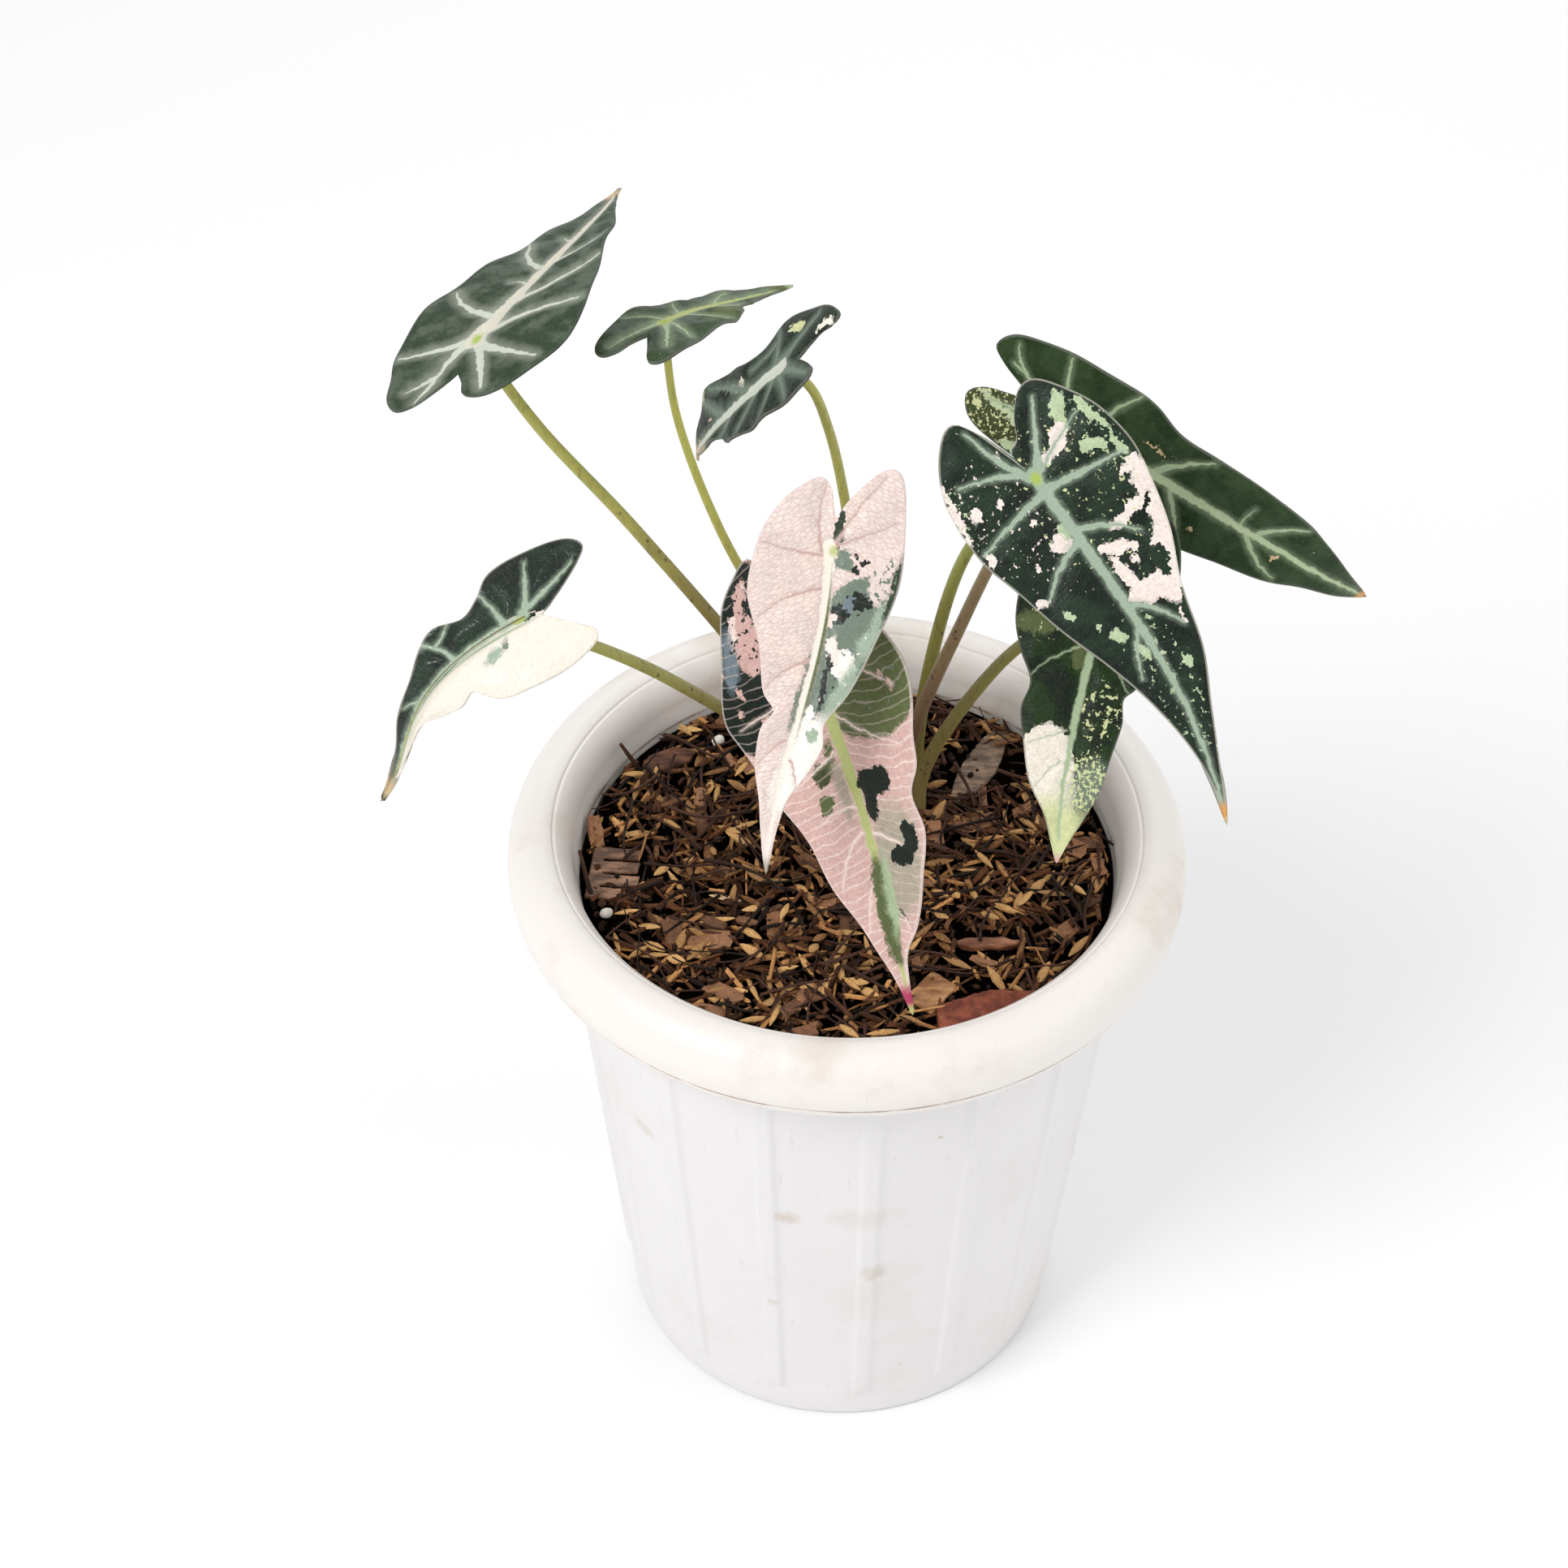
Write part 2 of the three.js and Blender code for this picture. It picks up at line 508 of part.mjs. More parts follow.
function makeSoil() {
  const foot = innerRadius(FLOOR + FLOOR_FILLET);
  let solid = toSolid(turned([
    [0, FLOOR + SEAT_GAP],
    [foot - FLOOR_FILLET - SEAT_GAP, FLOOR + SEAT_GAP],
    [foot - SEAT_GAP, FLOOR + FLOOR_FILLET + SEAT_GAP],
    [SOIL_RADIUS - SEAT_GAP, SOIL_TOP],
    [0, SOIL_TOP],
  ], 72));
  const draw = drawer(11);
  for (const [x, y] of litterPlaces(HUSKS, HUSK_LENGTH / 2, draw)) {
    const husk = huskGeometry().rotateY((draw() - 0.5) * 0.7).rotateZ(draw() * Math.PI);
    solid = solid.add(toSolid(husk.translate(x, y, SOIL_TOP + 0.3 * draw())));
  }
  for (const [x, y] of litterPlaces(CHIPS, CHIP_LENGTH.most / 2, draw)) {
    const length = THREE.MathUtils.lerp(CHIP_LENGTH.least, CHIP_LENGTH.most, draw());
    const chip = chipGeometry(length, 3.5 + 3.5 * draw(), 3).rotateX((draw() - 0.5) * 0.4);
    chip.rotateY((draw() - 0.5) * 0.3).rotateZ(draw() * 2 * Math.PI);
    solid = solid.add(toSolid(chip.translate(x, y, SOIL_TOP - 1.6)));
  }
  const clearance = SEAT_GAP + 0.1;
  for (const leaf of Object.values(LEAVES)) {
    const path = stalkPath(leaf, ROOT_LEVEL - 0.5);
    const [low, high] = stalkRadii(leaf);
    const bore = makeTube(path, PETIOLE_STEPS, low + clearance, high + clearance);
    solid = solid.subtract(toSolid(bore));
  }
  addPiece("soil", toGeometry(largestBody(solid)), 0x3b2a1e, 0.95);
}

function flatPiece(outline, thickness) {
  const shape = new THREE.Shape(outline.map(([x, y]) => new THREE.Vector2(x, y)));
  return new THREE.ExtrudeGeometry(shape, { depth: thickness, bevelEnabled: false });
}

// A potsherd whose long side follows the pot's wall
function shardGeometry() {
  const [atX, atY] = LOOSE.terracotta_shard.at;
  const reach = innerRadius(SOIL_TOP) - 0.9;
  const from = THREE.MathUtils.degToRad(-71);
  const sweep = THREE.MathUtils.degToRad(26);
  const outline = [];
  for (let i = 0; i <= 8; i += 1) {
    const angle = from + (sweep * i) / 8;
    outline.push([reach * Math.cos(angle) - atX, reach * Math.sin(angle) - atY]);
  }
  outline.push([33 - atX, -46 - atY], [20.5 - atX, -51.5 - atY]);
  return flatPiece(outline, 3.2);
}

// A dry frond piece: a rib down one side with four flat fingers
function frondGeometry() {
  const fingers = 4;
  const pitch = 4.7;
  const outline = [[-6.5, -9.4]];
  for (let i = 0; i < fingers; i += 1) {
    const low = -9.4 + i * pitch;
    if (i > 0) outline.push([-3.2, low]);
    outline.push([6.5 - i * 0.4, low], [6.9 - i * 0.4, low + 3.5], [-3.2, low + 3.7]);
  }
  outline.push([-6, -9.4 + fingers * pitch - 1]);
  return flatPiece(outline, 0.9);
}

function granuleGeometry(radius) {
  return new THREE.IcosahedronGeometry(radius, 0).scale(1.15, 1, 0.9).translate(0, 0, radius * 0.76);
}

// A long strip that narrows towards both ends
function stripGeometry(length, width, thickness) {
  const steps = 6;
  const lower = [];
  const upper = [];
  for (let i = 0; i <= steps; i += 1) {
    const along = i / steps;
    const half = 0.5 * width * Math.sin(Math.PI * (0.12 + 0.76 * along));
    lower.push([length * (along - 0.5), -half]);
    upper.unshift([length * (along - 0.5), half]);
  }
  return flatPiece([...lower, ...upper], thickness);
}

function makeLoosePieces() {
  for (const [name, piece] of Object.entries(LOOSE)) {
    const geometry = piece.make().rotateZ(THREE.MathUtils.degToRad(piece.turn));
    geometry.translate(piece.at[0], piece.at[1], SOIL_TOP + SEAT_GAP);
    addPiece(name, toGeometry(toSolid(geometry)), piece.colour, 0.9);
  }
}

makePot();
makeSoil();
makeLeaves();
makeLoosePieces();

export default part;
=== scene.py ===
import logging
import math
import random
from collections.abc import Callable, Iterable, Sequence
from dataclasses import dataclass, field
from enum import Enum

import bmesh
import bpy
import numpy as np
from mathutils import Matrix, Vector, noise


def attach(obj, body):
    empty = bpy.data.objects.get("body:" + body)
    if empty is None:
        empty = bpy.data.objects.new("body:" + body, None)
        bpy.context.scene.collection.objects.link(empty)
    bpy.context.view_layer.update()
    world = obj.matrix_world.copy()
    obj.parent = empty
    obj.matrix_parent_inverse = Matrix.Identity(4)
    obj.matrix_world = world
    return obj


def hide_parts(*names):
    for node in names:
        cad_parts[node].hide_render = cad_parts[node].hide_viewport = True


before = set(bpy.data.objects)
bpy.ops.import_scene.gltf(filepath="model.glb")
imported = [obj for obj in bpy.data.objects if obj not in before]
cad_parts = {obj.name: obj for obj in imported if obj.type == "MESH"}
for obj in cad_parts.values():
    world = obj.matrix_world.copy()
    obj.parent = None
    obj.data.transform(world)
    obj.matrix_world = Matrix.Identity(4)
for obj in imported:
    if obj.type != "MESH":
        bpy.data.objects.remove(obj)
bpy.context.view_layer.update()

log = logging.getLogger("alocasia")

MM = 0.001
PLAN_UNIT = 100.0

Flat = tuple[float, float]
Point = tuple[float, float, float]
Rgb = tuple[int, int, int]
Colour = tuple[float, float, float, float]
Array = np.ndarray
Placer = Callable[[Array, Array], Array]
Placed = tuple[Array, Array]
Stretch = tuple[Flat, Flat, float, float]
Mesh = bmesh.types.BMesh
Material = bpy.types.Material
Tree = bpy.types.NodeTree
Socket = bpy.types.NodeSocket


class Tone(Enum):
    """The plant's, the pot's and the litter's colours, as display values from 0 to 255."""

    BLUE_GREEN = (28, 47, 32)
    DEEP_GREEN = (26, 50, 14)
    NIGHT_GREEN = (15, 27, 18)
    LEAF_GREEN = (46, 68, 34)
    FOREST_GREEN = (42, 60, 40)
    OLIVE = (92, 102, 62)
    DARK_OLIVE = (66, 74, 40)
    GREY_GREEN = (112, 126, 112)
    SILVER_GREEN = (160, 178, 156)
    SILVER_WASH = (84, 96, 80)
    SILVER_VEIN = (204, 208, 194)
    CREAM_VEIN = (216, 212, 196)
    LIME_VEIN = (186, 194, 126)
    GREEN_VEIN = (168, 186, 150)
    JOINT_LIME = (168, 190, 92)
    PALE_GREEN = (184, 200, 162)
    YELLOW_FLECK = (208, 210, 160)
    CREAM = (241, 233, 219)
    CREAM_PINK = (240, 226, 218)
    PINK_CREAM = (228, 211, 204)
    PINK_NET = (196, 168, 160)
    WHITE = (246, 240, 232)
    ROSE = (208, 170, 162)
    ROSE_PALE = (238, 218, 208)
    MAUVE_GREY = (170, 160, 142)
    BLUE_SHEEN = (112, 126, 134)
    MAGENTA = (176, 62, 98)
    YELLOW_GREEN = (206, 212, 158)
    TAN = (206, 182, 140)
    AMBER = (214, 154, 88)
    TIP_BROWN = (84, 56, 50)
    MARGIN_GREY = (120, 122, 112)


def paint(tone: Tone | Rgb) -> Colour:
    """Turns a display colour into the linear colour that shaders read.

    Args:
        tone: A named tone, or red, green and blue from 0 to 255.

    Returns:
        The linear colour with an alpha of 1.
    """
    values = tone.value if isinstance(tone, Tone) else tone
    shares = [value / 255 for value in values]
    linear = [share / 12.92 if share <= 0.04045 else ((share + 0.055) / 1.055) ** 2.4 for share in shares]
    return (*linear, 1.0)


def smooth(value: Array, low: float, high: float) -> Array:
    """Eases from 0 at low to 1 at high."""
    share = np.clip((value - low) / (high - low), 0, 1)
    return share * share * (3 - 2 * share)


@dataclass(frozen=True)
class Route:
    """A smooth line through space, measured by its length."""

    points: Array

    @classmethod
    def bezier(cls, controls: Sequence[Point], count: int = 400) -> "Route":
        """A cubic Bezier curve with four control points."""
        share = np.linspace(0, 1, count + 1)[:, None]
        a, b, c, d = (np.array(point, float) for point in controls)
        rest = 1 - share
        return cls(rest**3 * a + 3 * share * rest**2 * b + 3 * share**2 * rest * c + share**3 * d)

    @classmethod
    def through(cls, controls: Sequence[Sequence[float]], power: float = 0.5, count: int = 60) -> "Route":
        """A Catmull-Rom curve through its control points.

        Args:
            controls: The points in order, flat or in space.
            power: 0.5 for the centripetal curve and 0 for the uniform one.
            count: Samples in each span.

        Returns:
            The sampled route.
        """
        given = [np.array(point, float) for point in controls]
        if power:
            given = [2 * given[0] - given[1], *given, 2 * given[-1] - given[-2]]
        else:
            given = [given[0], *given, given[-1]]
        samples = []
        for a, b, c, d in zip(given, given[1:], given[2:], given[3:]):
            first, second, third = (
                max(float(np.linalg.norm(q - p)) ** power, 1e-9) for p, q in ((a, b), (b, c), (c, d))
            )
            out = ((b - a) / first - (c - a) / (first + second) + (c - b) / second) * second
            into = ((c - b) / second - (d - b) / (second + third) + (d - c) / third) * second
            for share in np.linspace(0, 1, count, endpoint=False):
                samples.append(
                    b + out * share + (3 * (c - b) - 2 * out - into) * share**2
                    + (2 * (b - c) + out + into) * share**3
                )
        return cls(np.array([*samples, given[-2]]))

    @property
    def distances(self) -> Array:
        """How far along the route each sample lies."""
        steps = np.linalg.norm(np.diff(self.points, axis=0), axis=1)
        return np.concatenate([[0.0], np.cumsum(steps)])

    @property
    def length(self) -> float:
        """The route's whole length."""
        return float(self.distances[-1])

    def at(self, share: Array) -> Array:
        """Points at shares of the length, from 0 to 1."""
        distances = self.distances
        wanted = np.clip(share, 0, 1) * distances[-1]
        return np.stack([np.interp(wanted, distances, axis) for axis in self.points.T], axis=-1)

    def heading(self, share: Array) -> Array:
        """Unit directions at shares of the length."""
        step = 0.004
        along = self.at(np.minimum(share + step, 1)) - self.at(np.maximum(share - step, 0))
        return along / np.linalg.norm(along, axis=-1, keepdims=True)


def grid_mesh(columns: int, rows: int, place: Placer, plans: dict[str, Placer] | None = None) -> Mesh:
    """Bends a flat grid into a surface.

    Args:
        columns: Faces along the first direction.
        rows: Faces along the second direction.
        place: Gives the points in millimetres for arrays of shares along the two directions.
        plans: UV maps by name, each with a function like place that gives pairs.

    Returns:
        The surface, with points that fall together joined.
    """
    mesh = bmesh.new()
    bmesh.ops.create_grid(mesh, x_segments=columns, y_segments=rows, size=0.5)
    mesh.verts.index_update()
    across = np.array([vertex.co.x for vertex in mesh.verts]) + 0.5
    along = np.array([vertex.co.y for vertex in mesh.verts]) + 0.5
    for name, plan in (plans or {}).items():
        layer = mesh.loops.layers.uv.new(name)
        pairs = plan(across, along)
        for face in mesh.faces:
            for loop in face.loops:
                loop[layer].uv = pairs[loop.vert.index]
    for vertex, point in zip(mesh.verts, place(across, along) * MM):
        vertex.co = point
    bmesh.ops.remove_doubles(mesh, verts=mesh.verts, dist=1e-6)
    return mesh


def add_mesh(target: Mesh, part: Mesh) -> None:
    """Adds part to target and frees it."""
    held = bpy.data.meshes.new("held")
    part.to_mesh(held)
    part.free()
    target.from_mesh(held)
    bpy.data.meshes.remove(held)


def finish_piece(
    name: str, mesh: Mesh, materials: Sequence[Material],
    stands_for: Iterable[str] = (), smooth_faces: bool = True,
) -> bpy.types.Object:
    """Makes a mesh an object that rides on the plant and takes the place of CAD nodes.

    Args:
        name: The piece's name.
        mesh: Its shape, which is freed.
        materials: Its materials, in the order of the faces' material numbers.
        stands_for: The CAD nodes that it replaces.
        smooth_faces: Whether the faces are shaded smooth.

    Returns:
        The object.
    """
    for face in mesh.faces:
        face.smooth = smooth_faces
    data = bpy.data.meshes.new(name)
    mesh.to_mesh(data)
    mesh.free()
    for material in materials:
        data.materials.append(material)
    piece = bpy.data.objects.new(name, data)
    bpy.context.scene.collection.objects.link(piece)
    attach(piece, "root")
    nodes = list(stands_for)
    if nodes:
        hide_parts(*nodes)
    log.info("%s: %d faces", name, len(data.polygons))
    return piece


def tube_mesh(route: Route, radius: Callable[[Array], Array], steps: int, sides: int,
              plan_name: str = "plan") -> Mesh:
    """Sweeps a round section along a route and closes both ends.

    Args:
        route: The centre line in millimetres.
        radius: Gives the radius at shares of the length.
        steps: Faces along the route.
        sides: Faces round it.
        plan_name: The UV map's name.

    Returns:
        The tube, with a UV map that holds the share along it and the share round it.
    """
    stations = np.linspace(0, 1, steps + 1)
    headings = route.heading(stations)
    side = np.cross(headings[0], (0.31, 0.93, 0.2))
    sides_held = []
    for heading in headings:
        side = side - heading * np.dot(side, heading)
        side = side / np.linalg.norm(side)
        sides_held.append(side)
    held = np.array(sides_held)

    def place(across: Array, along: Array) -> Array:
        """Puts a grid point on the tube's wall."""
        station = np.rint(along * steps).astype(int)
        turn = 2 * math.pi * across[:, None]
        upright = np.cross(headings[station], held[station])
        ring = held[station] * np.cos(turn) + upright * np.sin(turn)
        return route.at(along) + ring * radius(along)[:, None]

    def plan(across: Array, along: Array) -> Array:
        """The share along and the share round."""
        return np.stack([along, across], axis=-1)

    mesh = grid_mesh(sides, steps, place, {plan_name: plan})
    ends = [edge for edge in mesh.edges if edge.is_boundary]
    bmesh.ops.holes_fill(mesh, edges=ends, sides=0)
    bmesh.ops.recalc_face_normals(mesh, faces=mesh.faces)
    return mesh


class Shader:
    """A short way to write a material's or a group's nodes."""

    def __init__(self, tree: Tree) -> None:
        """Works on an empty node tree."""
        self.tree = tree
        tree.nodes.clear()

    def add(self, kind: str, **settings: object) -> bpy.types.Node:
        """Adds a node and sets its properties."""
        made = self.tree.nodes.new(kind)
        for key, value in settings.items():
            setattr(made, key, value)
        return made

    def feed(self, socket: Socket, value: object) -> None:
        """Links a socket to another, or sets its value."""
        if isinstance(value, Socket):
            self.tree.links.new(value, socket)
        else:
            socket.default_value = value

    def math(self, operation: str, *values: object, clamp: bool = False) -> Socket:
        """A Math node's result."""
        made = self.add("ShaderNodeMath", operation=operation, use_clamp=clamp)
        for socket, value in zip(made.inputs, values):
            self.feed(socket, value)
        return made.outputs[0]

    def times(self, first: object, second: object) -> Socket:
        """A product."""
        return self.math("MULTIPLY", first, second)

    def plus(self, first: object, second: object) -> Socket:
        """A sum."""
        return self.math("ADD", first, second)

    def less(self, first: object, second: object) -> Socket:
        """A difference."""
        return self.math("SUBTRACT", first, second)

    def parts(self, place: object) -> bpy.types.bpy_prop_collection:
        """A place's three numbers."""
        made = self.add("ShaderNodeSeparateXYZ")
        self.feed(made.inputs[0], place)
        return made.outputs

    def results(self, *values: object) -> None:
        """Ends a group with its outputs."""
        made = self.add("NodeGroupOutput")
        for socket, value in zip(made.inputs, values):
            self.feed(socket, value)

    def vector(self, operation: str, *values: object, scale: object = None) -> Socket:
        """A Vector Math node's result: a number for a length or a dot product, or else a vector."""
        made = self.add("ShaderNodeVectorMath", operation=operation)
        for socket, value in zip(made.inputs, values):
            self.feed(socket, value)
        if scale is not None:
            self.feed(made.inputs["Scale"], scale)
        return made.outputs["Value" if operation in ("LENGTH", "DOT_PRODUCT") else "Vector"]

    def after(self, place: object, before: object) -> Socket:
        """The same place, worked out only after another value, so that few values are held at once."""
        return self.vector("MULTIPLY_ADD", before, (1e-9, 1e-9, 1e-9), place)

    def ramp(self, value: object, low: float, high: float, start: object = 0.0, end: object = 1.0) -> Socket:
        """Eases from start to end as value goes from low to high."""
        made = self.add("ShaderNodeMapRange", interpolation_type="SMOOTHSTEP")
        for socket, given in zip(made.inputs, (value, low, high, start, end)):
            self.feed(socket, given)
        return made.outputs[0]

    def mix(self, share: object, first: object, second: object, blend: str = "MIX") -> Socket:
        """Mixes two colours."""
        made = self.add("ShaderNodeMix", data_type="RGBA", blend_type=blend)
        self.feed(made.inputs[0], share)
        self.feed(made.inputs[6], first)
        self.feed(made.inputs[7], second)
        return made.outputs[2]

    def noise(self, place: object, scale: float, detail: float = 3, rough: float = 0.55,
              colour: bool = False) -> Socket:
        """A noise pattern's value or colour."""
        made = self.add("ShaderNodeTexNoise")
        self.feed(made.inputs["Vector"], place)
        made.inputs["Scale"].default_value = scale
        made.inputs["Detail"].default_value = detail
        made.inputs["Roughness"].default_value = rough
        return made.outputs["Color" if colour else "Fac"]

    def cells(self, place: object, scale: float, output: str, feature: str = "F1") -> Socket:
        """A Voronoi pattern's named output."""
        made = self.add("ShaderNodeTexVoronoi", feature=feature)
        self.feed(made.inputs["Vector"], place)
        made.inputs["Scale"].default_value = scale
        return made.outputs[output]

    def stretch(self, place: object, scale: Point, turn: float = 0.0) -> Socket:
        """A pattern's place, scaled and turned about Z."""
        made = self.add("ShaderNodeMapping")
        self.feed(made.inputs["Vector"], place)
        made.inputs["Rotation"].default_value = (0, 0, turn)
        made.inputs["Scale"].default_value = scale
        return made.outputs[0]

    def plan(self, name: str = "plan", scale: float = 1.0) -> Socket:
        """The place on a UV map, scaled."""
        made = self.add("ShaderNodeUVMap", uv_map=name)
        return self.vector("SCALE", made.outputs[0], scale=scale)

    def place(self) -> Socket:
        """The place in the object's own frame, in metres."""
        return self.add("ShaderNodeTexCoord").outputs["Object"]

    def group(self, tree: Tree, **values: object) -> bpy.types.Node:
        """Places a node group, with its inputs set by name."""
        made = self.add("ShaderNodeGroup", node_tree=tree)
        for key, value in values.items():
            self.feed(made.inputs[key], value)
        return made

    def bump(self, height: object, distance: float, strength: float) -> Socket:
        """A Bump node's normal. The distance is in metres."""
        made = self.add("ShaderNodeBump")
        made.inputs["Strength"].default_value = strength
        made.inputs["Distance"].default_value = distance
        self.feed(made.inputs["Height"], height)
        return made.outputs[0]

    def surface(self, colour: object, roughness: object, normal: object = None,
                **constants: float) -> None:
        """Ends a material in a Principled BSDF.

        Args:
            colour: The base colour.
            roughness: The roughness.
            normal: The normal, if the surface has relief.
            constants: Other sockets by name, with underscores for spaces.
        """
        shader = self.add("ShaderNodeBsdfPrincipled")
        self.feed(shader.inputs["Base Color"], colour)
        self.feed(shader.inputs["Roughness"], roughness)
        if normal is not None:
            self.feed(shader.inputs["Normal"], normal)
        for key, value in constants.items():
            shader.inputs[key.replace("_", " ")].default_value = value
        output = self.add("ShaderNodeOutputMaterial")
        self.feed(output.inputs["Surface"], shader.outputs[0])


def new_material(name: str) -> tuple[Material, Shader]:
    """An empty node material and its shader."""
    material = bpy.data.materials.new(name)
    material.use_nodes = True
    return material, Shader(material.node_tree)


def new_group(name: str, inputs: dict[str, tuple[str, object]], outputs: dict[str, str],
              ) -> tuple[Tree, Shader, bpy.types.Node]:
    """An empty shader node group.

    Args:
        name: The group's name.
        inputs: Each input's name with its socket type and default.
        outputs: Each output's name with its socket type.

    Returns:
        The group, its shader and its input node.
    """
    tree = bpy.data.node_groups.new(name, "ShaderNodeTree")
    for key, (kind, default) in inputs.items():
        socket = tree.interface.new_socket(key, in_out="INPUT", socket_type=kind)
        if default is not None:
            socket.default_value = default
    for key, kind in outputs.items():
        tree.interface.new_socket(key, in_out="OUTPUT", socket_type=kind)
    shader = Shader(tree)
    return tree, shader, shader.add("NodeGroupInput")


NUMBER = "NodeSocketFloat"
VECTOR = "NodeSocketVector"


class LeafEffects:
    """The node groups that all the leaves share. Plans are in millimetres, from the stalk's joint."""

    def __init__(self) -> None:
        """Builds each group once."""
        self.vein = self._vein()
        self.patch = self._patch()
        self.cells = self._cells()
        self.flecks = self._flecks()
        self.net = self._net()

    def _vein(self) -> Tree:
        """How deep a point lies inside one straight stretch of a vein, negative outside it."""
        tree, make, given = new_group(
            "Vein stretch",
            {"Plan": (VECTOR, None), "Start": (VECTOR, None), "Run": (VECTOR, None), "Deep": (NUMBER, 1.0),
             "First": (NUMBER, 1.0), "Last": (NUMBER, 0.5)},
            {"Depth": NUMBER},
        )
        out = given.outputs
        offset = make.vector("SUBTRACT", make.after(out["Plan"], out["Deep"]), out["Start"])
        share = make.math("DIVIDE", make.vector("DOT_PRODUCT", offset, out["Run"]),
                          make.vector("DOT_PRODUCT", out["Run"], out["Run"]), clamp=True)
        nearest = make.vector("SCALE", out["Run"], scale=share)
        away = make.vector("LENGTH", make.vector("SUBTRACT", offset, nearest))
        width = make.math("MULTIPLY_ADD", make.less(out["Last"], out["First"]), share, out["First"])
        depth = make.math("MAXIMUM", make.less(width, away), out["Deep"])
        make.results(depth)
        return tree

    def _patch(self) -> Tree:
        """An oval mark with a crisp edge."""
        tree, make, given = new_group(
            "Leaf patch",
            {"Plan": (VECTOR, None), "Centre": (VECTOR, None), "Reach": (VECTOR, (1.0, 1.0, 1.0)),
             "Turn": (NUMBER, 0.0), "Edge": (NUMBER, 0.06), "Before": (NUMBER, 0.0)},
            {"Mask": NUMBER},
        )
        out = given.outputs
        turned = make.add("ShaderNodeVectorRotate", rotation_type="Z_AXIS", invert=True)
        place = make.after(out["Plan"], out["Before"])
        make.feed(turned.inputs["Vector"], make.vector("SUBTRACT", place, out["Centre"]))
        make.feed(turned.inputs["Angle"], out["Turn"])
        away = make.vector("LENGTH", make.vector("DIVIDE", turned.outputs[0], out["Reach"]))
        make.results(make.ramp(away, make.less(1.0, out["Edge"]), make.plus(1.0, out["Edge"]), 1.0, 0.0))
        return tree

    def _cells(self) -> Tree:
        """A ragged copy of the plan that steps from one fine cell of the leaf to the next."""
        tree, make, given = new_group(
            "Leaf cells",
            {"Plan": (VECTOR, None), "Wander": (NUMBER, 2.4), "Cell": (NUMBER, 1.6)},
            {"Ragged": VECTOR, "Tint": NUMBER},
        )
        out = given.outputs
        finer = make.vector("SCALE", out["Plan"], scale=out["Cell"])
        cell = make.add("ShaderNodeTexVoronoi", feature="F1")
        make.feed(cell.inputs["Vector"], finer)
        cell.inputs["Scale"].default_value = 1.0
        size = make.vector("SCALE", (1, 1, 1), scale=out["Cell"])
        snapped = make.vector("DIVIDE", cell.outputs["Position"], size)
        wander = make.vector("SUBTRACT", make.noise(snapped, 0.24, 4, 0.6, colour=True), (0.5, 0.5, 0.5))
        moved = make.vector("SCALE", wander, scale=make.times(out["Wander"], 4.0))
        ragged = make.vector("MULTIPLY", make.vector("ADD", snapped, moved), (1, 1, 0))
        make.results(ragged, make.vector("DOT_PRODUCT", cell.outputs["Color"], (0.6, 0.4, 0.0)))
        return tree

    def _flecks(self) -> Tree:
        """Small irregular flecks of one cover, from 0 to 1."""
        tree, make, given = new_group(
            "Leaf flecks",
            {"Plan": (VECTOR, None), "Grain": (NUMBER, 1.0), "Cover": (NUMBER, 0.2), "Seed": (NUMBER, 0.0)},
            {"Mask": NUMBER},
        )
        out = given.outputs
        moved = make.vector("ADD", out["Plan"], make.vector("SCALE", (17.0, 5.0, 0.0), scale=out["Seed"]))
        place = make.vector("SCALE", moved, scale=make.math("DIVIDE", 1.0, out["Grain"]))
        cloud = make.noise(place, 0.55, 3, 0.62)
        level = make.math("MULTIPLY_ADD", out["Cover"], -0.34, 0.72)
        mask = make.ramp(cloud, level, make.plus(level, 0.02))
        make.results(mask)
        return tree

    def _net(self) -> Tree:
        """The fine net of small veins, and the arcs that run between the side veins."""
        tree, make, given = new_group(
            "Leaf net",
            {"Plan": (VECTOR, None), "Cell": (NUMBER, 1.0), "Arc": (NUMBER, 2.4)},
            {"Net": NUMBER, "Arcs": NUMBER},
        )
        out = given.outputs
        along, aside, _ = make.parts(out["Plan"])
        reach = make.math("ABSOLUTE", aside)
        lean = make.less(along, make.times(reach, 0.55))
        joined = make.add("ShaderNodeCombineXYZ")
        make.feed(joined.inputs[0], make.times(lean, 1.5))
        make.feed(joined.inputs[1], aside)
        warped = make.vector("ADD", joined.outputs[0], make.noise(out["Plan"], 0.9, 2, 0.5, colour=True))
        place = make.vector("SCALE", warped, scale=make.math("DIVIDE", 1.0, out["Cell"]))
        edge = make.cells(place, 1.0, "Distance", "DISTANCE_TO_EDGE")
        net = make.ramp(edge, 0.02, 0.13, 1.0, 0.0)
        wave = make.math("MULTIPLY_ADD", make.noise(out["Plan"], 0.16, 2, 0.5), 3.0, lean)
        curve = make.times(make.times(reach, reach), 0.018)
        phase = make.math("DIVIDE", make.plus(wave, curve), out["Arc"])
        ridge = make.math("ABSOLUTE", make.less(make.math("FRACT", phase), 0.5))
        arcs = make.ramp(ridge, 0.0, 0.13, 1.0, 0.0)
        make.results(net, arcs)
        return tree


